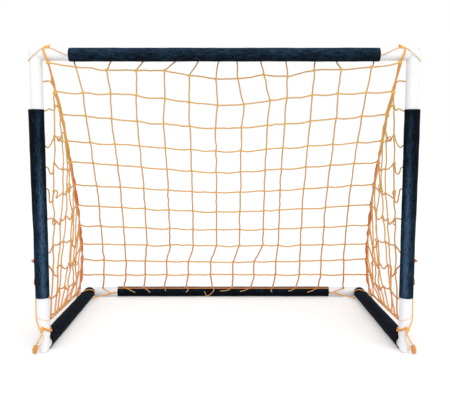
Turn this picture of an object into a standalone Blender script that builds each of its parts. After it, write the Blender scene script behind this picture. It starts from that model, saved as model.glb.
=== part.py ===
"""Coaching goal: a white steel tube frame in foam covers, with a knotted net, its ropes and its ties.

The goal mouth faces -Y and X runs across it. The origin is on the floor, midway between the front
uprights and the rear bar. Lengths are metres.
"""

import math

import bmesh
import bpy
import numpy as np
from mathutils import Matrix, Vector

# Driving dimensions of the frame
WIDTH = 1.524  # over the uprights
HEIGHT = 1.219  # floor to the top of the crossbar
DEPTH = 0.885  # upright centre to rear bar centre
TUBE_OD = 0.0508
TUBE_WALL = 0.0015
GAP = 0.0003  # between pieces that touch
RAIL_Z = 0.028  # centre line of the ground tubes
CROSSBAR_HALF = 0.618  # the wide middle tube of the crossbar
FOOT_Z = 0.070  # lower end of an upright
RAIL_START = 0.046  # wide side rail, behind the front plane
PLUG = 0.090  # how far a slim tube reaches inside a wide one
TUBE_SIDES = 32

# Foam covers
COVER_WALL = 0.0008  # tight covers, and the thin side of a loose one
CROSSBAR_COVER_HALF = 0.605
POST_COVER_LOW = 0.2265
POST_COVER_HIGH = 0.982
POST_COVER_RADII = (0.0282, 0.0308)  # at its lower and upper end
POST_COVER_OFFSETS = (0.0010, 0.0040)  # outwards, at its lower and upper end
RAIL_COVER_START = 0.030
RAIL_COVER_RADII = (0.0320, 0.0300)  # at its front and rear end
RAIL_COVER_OFFSETS = ((0.0038, 0.0024), (0.0022, 0.0010))  # outwards and upwards, at the same ends
REAR_COVER_ENDS = (-0.587, 0.574)

# Spring buttons that lock the uprights on their spigots
BUTTON_Z = 0.078
BUTTON_TURN = math.radians(15)  # inwards from straight ahead
BUTTON_RADIUS = 0.0040
BUTTON_FLANGE_RADIUS = 0.0055
BUTTON_BACK = 0.0194  # distances from the tube's centre line
BUTTON_SHOULDER = 0.0209
BUTTON_RIM = 0.0274
BUTTON_TIP = 0.0290
LEAF_THICKNESS = 0.0008
LEAF_WIDTH = 0.008

# Net and ropes
NET_COLUMNS = 13
NET_ROWS = 12
TWINE = 0.0045
MIDDLE_SAG = 0.060  # of the back panel, halfway down
# Rows of knots 1 to 11, hand tied: along the slope ropes from their tops, and down the panel's middle
EDGE_KNOTS = (0.069, 0.189, 0.304, 0.433, 0.546, 0.685, 0.817, 0.955, 1.088, 1.197, 1.302)
MIDDLE_KNOTS = (0.061, 0.171, 0.273, 0.383, 0.495, 0.613, 0.736, 0.863, 0.988, 1.132, 1.254)
# Places of the columns across the panel, from -1 to 1: on the head rope, in rows 1 and 2, below them, low
# down, and on the rear bar
HEAD_SHARES = (-1, -0.87, -0.645, -0.45, -0.26, -0.14, -0.03, 0.07, 0.21, 0.355, 0.52, 0.64, 0.865, 1)
FIRST_SHARES = (-1, -0.85, -0.68, -0.51, -0.345, -0.205, -0.05, 0.08, 0.23, 0.37, 0.52, 0.675, 0.845, 1)
SECOND_SHARES = (-1, -0.84, -0.68, -0.53, -0.36, -0.215, -0.04, 0.12, 0.28, 0.38, 0.53, 0.68, 0.845, 1)
BODY_SHARES = (-1, -0.855, -0.70, -0.545, -0.382, -0.218, -0.055, 0.108, 0.273, 0.38, 0.537, 0.695, 0.849, 1)
FOOT_SHARES = (-1, -0.853, -0.70, -0.563, -0.412, -0.257, -0.10, 0.063, 0.213, 0.366, 0.538, 0.687, 0.845, 1)
REAR_SHARES = (-1, -0.86, -0.71, -0.575, -0.425, -0.27, -0.087, 0.055, 0.185, 0.34, 0.505, 0.66, 0.845, 1)
FIRST_DROPS = (0, 0.26, 0.44, 0.47, 0.47, 0.79, 1, 0.99, 0.74, 0.85, 0.47, 0.41, 0.26, 0)  # of row 1's droop
SECOND_LIFT = 0.013  # how much less row 2 droops a quarter of the way in
FOOT_ROW = 10  # the first of the low rows
REAR_REACH = 0.773  # of the rear row, either way from the middle
# Side panels: heights of the ten rows at the upright, and each strand's foot, behind the front plane
POST_KNOTS = (1.092, 0.975, 0.840, 0.754, 0.661, 0.543, 0.410, 0.348, 0.220, 0.124)
GROUND_KNOTS = (0.056, 0.116, 0.170, 0.230, 0.279, 0.339, 0.418, 0.565, 0.669)
# Knots of each strand between the slope rope and the ground rope: share of the way from the upright to the
# slope rope, and height
SIDE_KNOTS = (
    (
        (0.580, 0.999),
        (0.396, 0.878),
        (0.303, 0.765),
        (0.239, 0.650),
        (0.200, 0.529),
        (0.157, 0.417),
        (0.133, 0.304),
        (0.082, 0.200),
    ),
    (
        (0.715, 0.856),
        (0.582, 0.739),
        (0.490, 0.632),
        (0.365, 0.522),
        (0.308, 0.415),
        (0.234, 0.315),
        (0.207, 0.206),
    ),
    ((0.761, 0.732), (0.614, 0.638), (0.515, 0.526), (0.396, 0.416), (0.309, 0.314), (0.243, 0.216)),
    ((0.684, 0.638), (0.737, 0.525), (0.605, 0.402), (0.517, 0.296), (0.392, 0.201)),
    ((0.809, 0.547), (0.634, 0.379), (0.541, 0.273), (0.478, 0.172)),
    ((0.738, 0.358), (0.624, 0.285), (0.650, 0.173)),
    ((0.727, 0.298), (0.745, 0.162)),
    ((0.829, 0.201),),
)
HEAD_ROPE = 0.006
SLOPE_ROPE = 0.008
GROUND_ROPE = 0.006
LASHING = 0.005
THIN_CORD = 0.0036
SIDE_SLACK = 0.012  # how far the side panels bow inwards
REAR_ROPE_TURN = math.radians(40)  # forwards from the top of the rear bar

# Derived places
TUBE_R = TUBE_OD / 2
SLIM_R = TUBE_R - TUBE_WALL - GAP
BORE_R = TUBE_R + GAP
COVER_R = BORE_R + COVER_WALL
POST_X = WIDTH / 2 - TUBE_R
BAR_Z = HEIGHT - TUBE_R
FRONT_Y = -DEPTH / 2
REAR_Y = DEPTH / 2
OVERRUN = 0.010  # what a mitred tube is made too long by before it is cut
CUTTER = 0.200

# The slope rope's route on the left: distance from the middle, distance behind the front plane, height
SLOPE_ROUTE = (
    (0.7000, -0.0160, 1.2185),
    (0.6980, -0.0262, 1.2080),
    (0.6940, -0.0292, 1.1930),
    (0.6885, -0.0265, 1.1760),
    (0.6830, -0.0120, 1.1560),
    (0.6740, 0.0370, 1.0600),
    (0.6700, 0.1150, 0.9650),
    (0.6710, 0.2150, 0.8100),
    (0.6800, 0.3450, 0.6550),
    (0.7000, 0.5050, 0.4550),
    (0.7220, 0.6350, 0.2800),
    (0.7440, 0.7020, 0.1550),
    (0.7600, 0.7150, 0.0850),
    (0.7735, 0.7180, 0.0450),
)
# The ground rope's route between the foot lashing and the lower end of the slope rope, in the same terms
GROUND_ROUTE = ((0.7210, 0.0400, 0.1210), (0.7500, 0.6880, 0.0760))

LEFT, RIGHT = -1, 1
SIDES = ((LEFT, "left"), (RIGHT, "right"))


def clear_scene():
    for obj in list(bpy.data.objects):
        bpy.data.objects.remove(obj, do_unlink=True)


def make_collection(name):
    collection = bpy.data.collections.new(name)
    bpy.context.scene.collection.children.link(collection)
    return collection


def make_material(name, colour, roughness, metallic=0.0):
    material = bpy.data.materials.new(name)
    material.use_nodes = True
    shader = material.node_tree.nodes["Principled BSDF"]
    shader.inputs["Base Color"].default_value = (*colour, 1.0)
    shader.inputs["Roughness"].default_value = roughness
    shader.inputs["Metallic"].default_value = metallic
    material.diffuse_color = (*colour, 1.0)
    return material


clear_scene()
GOAL = make_collection("coaching_goal")
CUTTERS = make_collection("cutters")
WHITE = make_material("white_powder_coat", (0.86, 0.87, 0.89), 0.35)
NAVY = make_material("navy_foam_cover", (0.014, 0.024, 0.040), 0.60)
TWINE_ORANGE = make_material("orange_twine", (0.80, 0.36, 0.08), 0.70)
ROPE_ORANGE = make_material("orange_rope", (0.78, 0.20, 0.03), 0.65)
ZINC = make_material("zinc_plated_steel", (0.62, 0.63, 0.64), 0.35, 1.0)
SPRING = make_material("spring_steel", (0.42, 0.43, 0.45), 0.30, 1.0)


def add_object(name, data, material, matrix=None):
    obj = bpy.data.objects.new(name, data)
    GOAL.objects.link(obj)
    data.materials.append(material)
    if matrix is not None:
        obj.matrix_world = matrix
    if isinstance(data, bpy.types.Mesh):
        data.shade_smooth()
        data.set_sharp_from_angle(angle=math.radians(40))
    return obj


def along(start, end):
    """The matrix that puts a shape centred on local Z between two points."""
    start, end = Vector(start), Vector(end)
    turn = (end - start).to_track_quat("Z", "Y").to_matrix().to_4x4()
    return Matrix.Translation((start + end) / 2) @ turn


def cylinder_mesh(name, radius, length, capped, top_radius=None, sides=TUBE_SIDES):
    mesh = bpy.data.meshes.new(name)
    shape = bmesh.new()
    bmesh.ops.create_cone(
        shape,
        cap_ends=capped,
        segments=sides,
        radius1=radius,
        radius2=radius if top_radius is None else top_radius,
        depth=length,
    )
    bmesh.ops.recalc_face_normals(shape, faces=shape.faces)
    shape.to_mesh(mesh)
    shape.free()
    return mesh


def add_tube(name, start, end, radius, wall, material):
    """A hollow tube between two points: an open cylinder given its wall inwards."""
    length = (Vector(end) - Vector(start)).length
    tube = add_object(name, cylinder_mesh(name, radius, length, False), material, along(start, end))
    shell = tube.modifiers.new("wall", "SOLIDIFY")
    shell.thickness = wall
    shell.offset = -1
    shell.use_even_offset = True
    return tube


def add_cutter(name, mesh, matrix):
    cutter = bpy.data.objects.new(name, mesh)
    CUTTERS.objects.link(cutter)
    cutter.matrix_world = matrix
    cutter.hide_render = True
    cutter.display_type = "WIRE"
    return cutter


def cut(obj, cutter):
    boolean = obj.modifiers.new(cutter.name, "BOOLEAN")
    boolean.operation = "DIFFERENCE"
    boolean.object = cutter
    boolean.solver = "EXACT"


def block_cutter(name, point, normal):
    """A cube with one face through the point, lying on the side that the normal points to."""
    mesh = bpy.data.meshes.new(name)
    shape = bmesh.new()
    bmesh.ops.create_cube(shape, size=CUTTER)
    shape.to_mesh(mesh)
    shape.free()
    normal = Vector(normal).normalized()
    return add_cutter(name, mesh, along(Vector(point), Vector(point) + normal * CUTTER))


def mitre(first, second, corner, normal):
    """Cuts two tubes apart on the plane through their corner. The normal points to the second."""
    normal = Vector(normal).normalized()
    corner = Vector(corner)
    cut(first, block_cutter(first.name + "_mitre", corner - normal * GAP / 2, normal))
    cut(second, block_cutter(second.name + "_mitre", corner + normal * GAP / 2, -normal))


def round_cutter(name, start, end, radius, sides=TUBE_SIDES):
    length = (Vector(end) - Vector(start)).length
    return add_cutter(name, cylinder_mesh(name, radius, length, True, sides=sides), along(start, end))


def smooth_path(points, step, fine_step=0.0, fine_length=0.0):
    """Points every step along a Catmull-Rom curve through the given points, closer over its start."""
    points = np.array(points, float)
    ends = np.vstack([2 * points[0] - points[1], points, 2 * points[-1] - points[-2]])
    share = np.linspace(0, 1, 24, endpoint=False)[:, None]
    pieces = []
    for a, b, c, d in zip(ends, ends[1:], ends[2:], ends[3:]):
        pieces.append(
            0.5
            * (
                2 * b
                + (c - a) * share
                + (2 * a - 5 * b + 4 * c - d) * share**2
                + (3 * b - a - 3 * c + d) * share**3
            )
        )
    fine = np.vstack([*pieces, points[-1:]])
    walked = np.concatenate([[0], np.cumsum(np.linalg.norm(np.diff(fine, axis=0), axis=1))])
    count = max(2, round((walked[-1] - fine_length) / step) + 1)
    at = np.linspace(fine_length, walked[-1], count)
    if fine_length:
        at = np.concatenate([np.arange(0, fine_length - fine_step / 2, fine_step), at])
    return np.stack([np.interp(at, walked, fine[:, axis]) for axis in range(3)], axis=1)


def add_rope(name, points, diameter, material):
    """A rope along the points: a poly spline with a round bevel and filled caps."""
    curve = bpy.data.curves.new(name, "CURVE")
    curve.dimensions = "3D"
    curve.bevel_depth = diameter / 2
    curve.bevel_resolution = 2
    curve.use_fill_caps = True
    spline = curve.splines.new("POLY")
    spline.points.add(len(points) - 1)
    spline.points.foreach_set("co", np.column_stack([points, np.ones(len(points))]).ravel())
    return add_object(name, curve, material)


def placed(points, side):
    """Points given as distance from the middle, distance behind the front plane and height."""
    points = np.array(points, float)
    return points * [side, 1, 1] + [0, FRONT_Y, 0]


def build_front_frame(side, word):
    """Upright and corner arm, welded on a mitre at the top corner."""
    corner = (side * POST_X, FRONT_Y, BAR_Z)
    top = (corner[0], FRONT_Y, BAR_Z + TUBE_R + OVERRUN)
    foot = (corner[0], FRONT_Y, FOOT_Z)
    upright = add_tube(f"upright_{word}", foot, top, TUBE_R, TUBE_WALL, WHITE)
    outer = (side * (POST_X + TUBE_R + OVERRUN), FRONT_Y, BAR_Z)
    inner = (side * (CROSSBAR_HALF - PLUG), FRONT_Y, BAR_Z)
    arm = add_tube(f"corner_arm_{word}", outer, inner, SLIM_R, TUBE_WALL, WHITE)
    mitre(upright, arm, corner, (-side, 0, 1))
    return upright


def build_foot(side, word):
    """The slim spigot inside the upright and the slim leg inside the side rail."""
    corner = (side * POST_X, FRONT_Y, RAIL_Z)
    low = (corner[0], FRONT_Y, RAIL_Z - SLIM_R - OVERRUN)
    high = (corner[0], FRONT_Y, FOOT_Z + PLUG)
    spigot = add_tube(f"foot_spigot_{word}", low, high, SLIM_R, TUBE_WALL, WHITE)
    near = (corner[0], FRONT_Y - SLIM_R - OVERRUN, RAIL_Z)
    far = (corner[0], FRONT_Y + RAIL_START + PLUG, RAIL_Z)
    leg = add_tube(f"foot_leg_{word}", near, far, SLIM_R, TUBE_WALL, WHITE)
    mitre(spigot, leg, corner, (0, 1, -1))
    return spigot


def button_direction(side):
    return Vector((-side * math.sin(BUTTON_TURN), -math.cos(BUTTON_TURN), 0))


def turned(name, profile, material, matrix, steps=24):
    """A solid of revolution about local Z. The profile runs down its outer side at +X."""
    mesh = bpy.data.meshes.new(name)
    shape = bmesh.new()
    corners = [shape.verts.new((radius, 0, height)) for radius, height in profile]
    for first, second in zip(corners, corners[1:]):
        shape.edges.new((first, second))
    shape.to_mesh(mesh)
    shape.free()
    piece = add_object(name, mesh, material, matrix)
    screw = piece.modifiers.new("turn", "SCREW")
    screw.steps = screw.render_steps = steps
    screw.use_merge_vertices = True
    screw.merge_threshold = 0.00001
    screw.use_smooth_shade = True
    return piece


def build_button(side, word, upright, spigot):
    """The spring button, its two holes and the leaf spring behind it."""
    centre = Vector((side * POST_X, FRONT_Y, BUTTON_Z))
    out = button_direction(side)
    for tube, radius in ((upright, BUTTON_RADIUS + 0.0005), (spigot, BUTTON_RADIUS + GAP)):
        start, end = centre + out * TUBE_R / 2, centre + out * TUBE_R * 2
        cut(tube, round_cutter(tube.name + "_button_hole", start, end, radius, 24))
    dome = [
        (BUTTON_RADIUS * math.sin(a), BUTTON_RIM + (BUTTON_TIP - BUTTON_RIM) * math.cos(a))
        for a in np.linspace(0, math.pi / 2, 7)
    ]
    profile = [
        *dome,
        (BUTTON_RADIUS, BUTTON_SHOULDER),
        (BUTTON_FLANGE_RADIUS, BUTTON_SHOULDER),
        (BUTTON_FLANGE_RADIUS, BUTTON_BACK),
        (0.0, BUTTON_BACK),
    ]
    turn = out.to_track_quat("Z", "Y").to_matrix().to_4x4()
    turned(f"spring_button_{word}", profile, ZINC, Matrix.Translation(centre) @ turn)
    build_leaf(f"button_spring_{word}", centre, out)


def build_leaf(name, centre, out):
    """A V of strip steel: one leg behind the button, the bend above, one leg on the far wall."""
    near = BUTTON_BACK - GAP - LEAF_THICKNESS / 2
    far = -(SLIM_R - TUBE_WALL) + LEAF_THICKNESS / 2 + 0.0010
    bend_height, bend_radius = 0.050, 0.003
    bend = [
        (-bend_radius * math.cos(a), bend_height + bend_radius * math.sin(a))
        for a in np.linspace(math.pi, 0, 9)
    ]
    line = np.array([(near, -0.008), (near, 0.008), *bend, (far, 0.010), (far, -0.008)])
    step = np.gradient(line, axis=0)
    normal = np.stack([-step[:, 1], step[:, 0]], axis=1)
    normal /= np.linalg.norm(normal, axis=1)[:, None]
    half = LEAF_THICKNESS / 2
    outline = np.vstack([line + normal * half, (line - normal * half)[::-1]])
    curve = bpy.data.curves.new(name, "CURVE")
    curve.dimensions = "2D"
    curve.fill_mode = "BOTH"
    curve.extrude = LEAF_WIDTH / 2
    spline = curve.splines.new("POLY")
    spline.points.add(len(outline) - 1)
    flat = np.column_stack([outline, np.zeros(len(outline)), np.ones(len(outline))])
    spline.points.foreach_set("co", flat.ravel())
    spline.use_cyclic_u = True
    up = Vector((0, 0, 1))
    turn = Matrix((out, up, out.cross(up))).transposed().to_4x4()
    add_object(name, curve, SPRING, Matrix.Translation(centre) @ turn)


def build_ground_frame():
    """Side rails mitred to the rear bar."""
    rear_bar = add_tube(
        "rear_bar",
        (-POST_X - TUBE_R - OVERRUN, REAR_Y, RAIL_Z),
        (POST_X + TUBE_R + OVERRUN, REAR_Y, RAIL_Z),
        TUBE_R,
        TUBE_WALL,
        WHITE,
    )
    for side, word in SIDES:
        start = (side * POST_X, FRONT_Y + RAIL_START, RAIL_Z)
        end = (side * POST_X, REAR_Y + TUBE_R + OVERRUN, RAIL_Z)
        rail = add_tube(f"side_rail_{word}", start, end, TUBE_R, TUBE_WALL, WHITE)
        mitre(rail, rear_bar, (side * POST_X, REAR_Y, RAIL_Z), (-side, 1, 0))


def build_crossbar():
    ends = [(side * CROSSBAR_HALF, FRONT_Y, BAR_Z) for side in (LEFT, RIGHT)]
    add_tube("crossbar", ends[0], ends[1], TUBE_R, TUBE_WALL, WHITE)
    ends = [(side * CROSSBAR_COVER_HALF, FRONT_Y, BAR_Z) for side in (LEFT, RIGHT)]
    add_tube("crossbar_cover", ends[0], ends[1], COVER_R, COVER_WALL, NAVY)


def build_rear_cover():
    ends = [(x, REAR_Y, RAIL_Z) for x in REAR_COVER_ENDS]
    add_tube("rear_bar_cover", ends[0], ends[1], COVER_R, COVER_WALL, NAVY)


def add_loose_cover(name, start, end, radii, shifts, bore_line):
    """A cover whose outside is wider than its bore and set off from it at each end."""
    start, end = Vector(start), Vector(end)
    length = (end - start).length
    mesh = cylinder_mesh(name, radii[0], length, True, top_radius=radii[1])
    matrix = along(start, end)
    local = matrix.to_3x3().inverted()
    for vertex in mesh.vertices:
        vertex.co += local @ Vector(shifts[0] if vertex.co.z < 0 else shifts[1])
    cover = add_object(name, mesh, NAVY, matrix)
    cut(cover, round_cutter(name + "_bore", bore_line[0], bore_line[1], BORE_R))
    return cover


def build_post_cover(side, word):
    low = (side * POST_X, FRONT_Y, POST_COVER_LOW)
    high = (side * POST_X, FRONT_Y, POST_COVER_HIGH)
    shifts = [(side * offset, 0, 0) for offset in POST_COVER_OFFSETS]
    bore = (Vector(low) - Vector((0, 0, OVERRUN)), Vector(high) + Vector((0, 0, OVERRUN)))
    add_loose_cover(f"upright_cover_{word}", low, high, POST_COVER_RADII, shifts, bore)


def build_rail_cover(side, word, floor):
    start = Vector((side * POST_X, FRONT_Y + RAIL_COVER_START, RAIL_Z))
    end = Vector((side * POST_X, REAR_Y - BORE_R, RAIL_Z))
    shifts = [(side * outwards, 0, upwards) for outwards, upwards in RAIL_COVER_OFFSETS]
    bore = (start - Vector((0, OVERRUN, 0)), end + Vector((0, OVERRUN, 0)))
    cover = add_loose_cover(f"side_rail_cover_{word}", start, end, RAIL_COVER_RADII, shifts, bore)
    cut(cover, floor)


def floor_cutter():
    """Flattens the side rail covers where they rest on the floor."""
    mesh = bpy.data.meshes.new("floor")
    shape = bmesh.new()
    bmesh.ops.create_cube(shape, size=1)
    bmesh.ops.scale(shape, vec=(2 * WIDTH, 2 * DEPTH, CUTTER), verts=shape.verts)
    shape.to_mesh(mesh)
    shape.free()
    return add_cutter("floor", mesh, Matrix.Translation((0, 0, -CUTTER / 2)))


def point_along(path, distance):
    walked = np.concatenate([[0], np.cumsum(np.linalg.norm(np.diff(path, axis=0), axis=1))])
    return np.array([np.interp(distance, walked, path[:, axis]) for axis in range(3)])


def slope_path(side):
    return smooth_path(placed(SLOPE_ROUTE, side), 0.028, 0.010, 0.070)


def edge_knot(row):
    """Where a row of the back panel meets the slope rope on the right."""
    return point_along(slope_path(RIGHT), EDGE_KNOTS[row - 1])


def middle_knot(row):
    """A row's lowest place, halfway across: a straight fall from crossbar to rear bar, with a sag."""
    top = np.array([FRONT_Y + 0.030, BAR_Z - 0.028])
    foot = np.array([REAR_Y - 0.017, 0.060])
    share = MIDDLE_KNOTS[row - 1] / np.linalg.norm(foot - top)
    at = top + (foot - top) * share
    return np.array([0, at[0], at[1] - MIDDLE_SAG * 4 * share * (1 - share)])


def back_knot(column, row):
    """A knot of the back panel: rows droop towards the middle, and columns bend where the knots were tied."""
    if row == 0:
        reach = edge_knot(1)[0]
        return np.array([HEAD_SHARES[column] * reach, FRONT_Y + COVER_R + 0.0050, BAR_Z - 0.0110])
    if row == NET_ROWS:
        return np.array([REAR_SHARES[column] * REAR_REACH, REAR_Y - 0.0258, RAIL_Z + 0.0258])
    upper = {1: FIRST_SHARES, 2: SECOND_SHARES}
    across = upper.get(row, BODY_SHARES if row < FOOT_ROW else FOOT_SHARES)[column]
    edge, middle = edge_knot(row), middle_knot(row)
    power = min(0.7 + 0.3 * row, 1.4 - (row / NET_ROWS) ** 2)
    weight = FIRST_DROPS[column] if row == 1 else (1 - abs(across) ** 1.3) ** power
    place = edge + (middle - edge) * weight
    place[0] = across * edge[0]
    if row == 2:
        place[2] += SECOND_LIFT * math.sin(math.pi * across) ** 2
    return place


def add_net(name, knots, panels):
    """Twine along every edge of the panels, as one four-sided strand net."""
    mesh = bpy.data.meshes.new(name)
    shape = bmesh.new()
    corners = {key: shape.verts.new(place) for key, place in knots.items()}
    for panel in panels:
        shape.faces.new([corners[key] for key in panel])
    shape.to_mesh(mesh)
    shape.free()
    net = add_object(name, mesh, TWINE_ORANGE)
    strands = net.modifiers.new("strands", "WIREFRAME")
    strands.thickness = TWINE
    strands.use_even_offset = True
    strands.use_boundary = True
    strands.use_replace = True
    return net


def build_back_panel():
    knots, panels = {}, []
    inset = SLOPE_ROPE / 2 + TWINE
    for row in range(NET_ROWS + 1):
        for column in range(NET_COLUMNS + 1):
            place = back_knot(column, row)
            if row == NET_ROWS and column in (0, NET_COLUMNS):
                place = back_knot(column, row - 1)
                place += np.array([math.copysign(0.0120, place[0]), 0.0010, -0.0600])
            if column in (0, NET_COLUMNS):
                place[0] -= math.copysign(inset, place[0])
            knots[column, row] = place
    for row in range(NET_ROWS):
        ends = 0 if row else 1
        for column in range(ends, NET_COLUMNS - ends):
            panels.append(
                [(column, row), (column, row + 1), (column + 1, row + 1), (column + 1, row)]
            )
    del knots[0, 0], knots[NET_COLUMNS, 0]
    add_net("net_back", knots, panels)
    return len(panels)


def post_place(height, side):
    """Where a row of a side panel starts, just behind the upright."""
    return np.array([side * (POST_X - 0.006), FRONT_Y + 0.038, height])


def panel_place(share, height, side):
    """A place on a side panel, which bows inwards between the upright and the slope rope."""
    rope = slope_path(side)[::-1]
    edge = np.array([np.interp(height, rope[:, 2], rope[:, axis]) for axis in range(3)])
    post = post_place(height, side)
    place = post + (edge - post) * share
    place[0] -= side * SIDE_SLACK * math.sin(math.pi * share)
    return place


def side_knot(strand, row, side):
    """A knot of a side panel. Strand 0 runs down the upright. Each other one hangs from the slope rope, one
    row lower than the last, and ends on the ground rope."""
    if strand == 0:
        return post_place(POST_KNOTS[row - 1], side)
    if row == strand:
        return edge_knot(strand + 1) * [side, 1, 1] + side_inset(side)
    if row < len(POST_KNOTS):
        return panel_place(*SIDE_KNOTS[strand - 1][row - strand - 1], side)
    start, end = placed(GROUND_ROUTE, side)
    share = (GROUND_KNOTS[strand - 1] - GROUND_ROUTE[0][1]) / (GROUND_ROUTE[1][1] - GROUND_ROUTE[0][1])
    return start + (end - start) * share + [0, 0, GROUND_ROPE / 2 + TWINE]


def side_inset(side):
    """From the slope rope's centre line to the strands tied below it."""
    inset = SLOPE_ROPE / 2 + TWINE
    return np.array([side * 0.002, -inset * 0.9, -inset * 0.6])


def build_side_panel(side, word):
    """Rows from the upright to the slope rope, crossed by strands that hang from the rope."""
    rows = len(POST_KNOTS)
    knots, panels = {}, []
    for row in range(1, rows + 1):
        for strand in range(min(row, rows - 1) + 1):
            knots[strand, row] = side_knot(strand, row, side)
    for row in range(1, rows):
        for strand in range(row):
            panels.append([(strand, row), (strand, row + 1), (strand + 1, row + 1), (strand + 1, row)])
        if row < rows - 1:
            panels.append([(row, row), (row, row + 1), (row + 1, row + 1)])
    if side == RIGHT:
        panels = [panel[::-1] for panel in panels]
    add_net(f"net_side_{word}", knots, panels)
    return len(panels)


def build_ropes(side, word):
    add_rope(f"slope_rope_{word}", slope_path(side), SLOPE_ROPE, ROPE_ORANGE)
    post_cord = (
        (POST_X + 0.0283, -0.0010, POST_COVER_LOW - 0.0006),
        (POST_X + 0.0290, -0.0010, 0.200),
        (POST_X + 0.0280, -0.0060, 0.165),
        (POST_X + 0.0235, -0.0165, 0.132),
        (POST_X + 0.0095, -0.0300, 0.111),
    )
    add_rope(f"post_cord_{word}", smooth_path(placed(post_cord, side), 0.012), LASHING, ROPE_ORANGE)
    add_rope(f"ground_rope_{word}", placed(GROUND_ROUTE, side), GROUND_ROPE, ROPE_ORANGE)


def build_long_ropes():
    behind = FRONT_Y + COVER_R + HEAD_ROPE / 2 + GAP
    reach = 0.675
    head = smooth_path([(-reach, behind, BAR_Z), (0, behind, BAR_Z - 0.001), (reach, behind, BAR_Z)], 0.05)
    add_rope("head_rope", head, HEAD_ROPE, ROPE_ORANGE)
    reach = COVER_R + GROUND_ROPE / 2 + GAP
    before = REAR_Y - reach * math.sin(REAR_ROPE_TURN)
    above = RAIL_Z + reach * math.cos(REAR_ROPE_TURN)
    rear = smooth_path([(end, before, above) for end in REAR_COVER_ENDS], 0.05)
    add_rope("rear_rope", rear, GROUND_ROPE, ROPE_ORANGE)


def add_lump(name, centre, size, turn=0.0):
    """A knot's plain body: a sphere of 12 by 8 faces, stretched to its three sizes."""
    mesh = bpy.data.meshes.new(name)
    shape = bmesh.new()
    bmesh.ops.create_uvsphere(shape, u_segments=12, v_segments=8, radius=0.5)
    bmesh.ops.scale(shape, vec=size, verts=shape.verts)
    shape.to_mesh(mesh)
    shape.free()
    matrix = Matrix.Translation(Vector(centre)) @ Matrix.Rotation(turn, 4, "Y")
    return add_object(name, mesh, ROPE_ORANGE, matrix)


def build_top_ties(side, word):
    """The knot on the arm and the cords that leave it: round the arm, over the corner, to the cover."""
    wrap = SLIM_R + LASHING / 2 + 0.0006
    knot = (side * 0.6900, FRONT_Y + 0.001, BAR_Z + SLIM_R + 0.0062)
    add_lump(f"top_knot_{word}", knot, (0.018, 0.014, 0.011))
    behind = [
        (0.6905 - 0.004 * a / math.pi, wrap * math.sin(a), BAR_Z + wrap * math.cos(a))
        for a in np.linspace(0.52, 3.0, 14)
    ]
    add_rope(f"arm_loop_{word}", placed(behind, side), LASHING, ROPE_ORANGE)
    front = (
        (0.7020, -0.0055, BAR_Z + 0.0255),
        (0.7085, -0.0150, BAR_Z + 0.0215),
        (0.7160, -0.0235, BAR_Z + 0.0140),
        (0.7260, -0.0290, BAR_Z + 0.0040),
        (0.7400, -0.0294, BAR_Z - 0.0080),
        (0.7530, -0.0236, BAR_Z - 0.0180),
        (0.7622, -0.0120, BAR_Z - 0.0235),
        (0.7652, 0.0000, BAR_Z - 0.0250),
    )
    back = [(x, -y, z) for x, y, z in front[-2::-1]]
    path = smooth_path(placed([*front, *back], side), 0.009)
    add_rope(f"corner_loop_{word}", path, THIN_CORD, TWINE_ORANGE)
    head_cord = (
        (0.6780, -0.0080, BAR_Z + 0.0248),
        (0.6650, -0.0165, BAR_Z + 0.0205),
        (0.6450, -0.0243, BAR_Z + 0.0110),
        (0.6280, -0.0272, BAR_Z + 0.0040),
        (0.6150, -0.0280, BAR_Z - 0.0020),
        (CROSSBAR_COVER_HALF + 0.0007, -0.0280, BAR_Z - 0.0045),
    )
    path = smooth_path(placed(head_cord, side), 0.006)
    add_rope(f"head_cord_{word}", path, THIN_CORD, ROPE_ORANGE)


def build_foot_ties(side, word):
    """The slanting loop round the foot of the upright, its knot, and the tail that hangs from them."""
    wrap = TUBE_R + LASHING / 2 + 0.0008
    ring = [
        (POST_X + wrap * math.cos(a), wrap * -math.sin(a), 0.1118 + 0.72 * wrap * math.cos(a))
        for a in np.linspace(math.radians(112), math.radians(320), 17)
    ]
    add_rope(f"foot_loop_{word}", placed(ring, side), LASHING, ROPE_ORANGE)
    knot = placed([(POST_X - 0.0002, -0.0340, 0.1025)], side)[0]
    add_lump(f"foot_knot_{word}", knot, (0.0145, 0.0140, 0.0210))
    tail = (
        (POST_X + 0.0003, -0.0360, 0.0910),
        (POST_X - 0.0005, -0.0378, 0.0820),
        (POST_X + 0.0060, -0.0385, 0.0670),
        (POST_X + 0.0140, -0.0390, 0.0530),
        (POST_X + 0.0212, -0.0390, 0.0422),
    )
    path = smooth_path(placed(tail, side), 0.009)
    add_rope(f"tie_tail_{word}", path, LASHING, ROPE_ORANGE)
    end_knot = placed([(POST_X + 0.0255, -0.0390, 0.0230)], side)[0]
    add_lump(f"tail_knot_{word}", end_knot, (0.021, 0.019, 0.0370), side * math.radians(-8))


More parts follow.
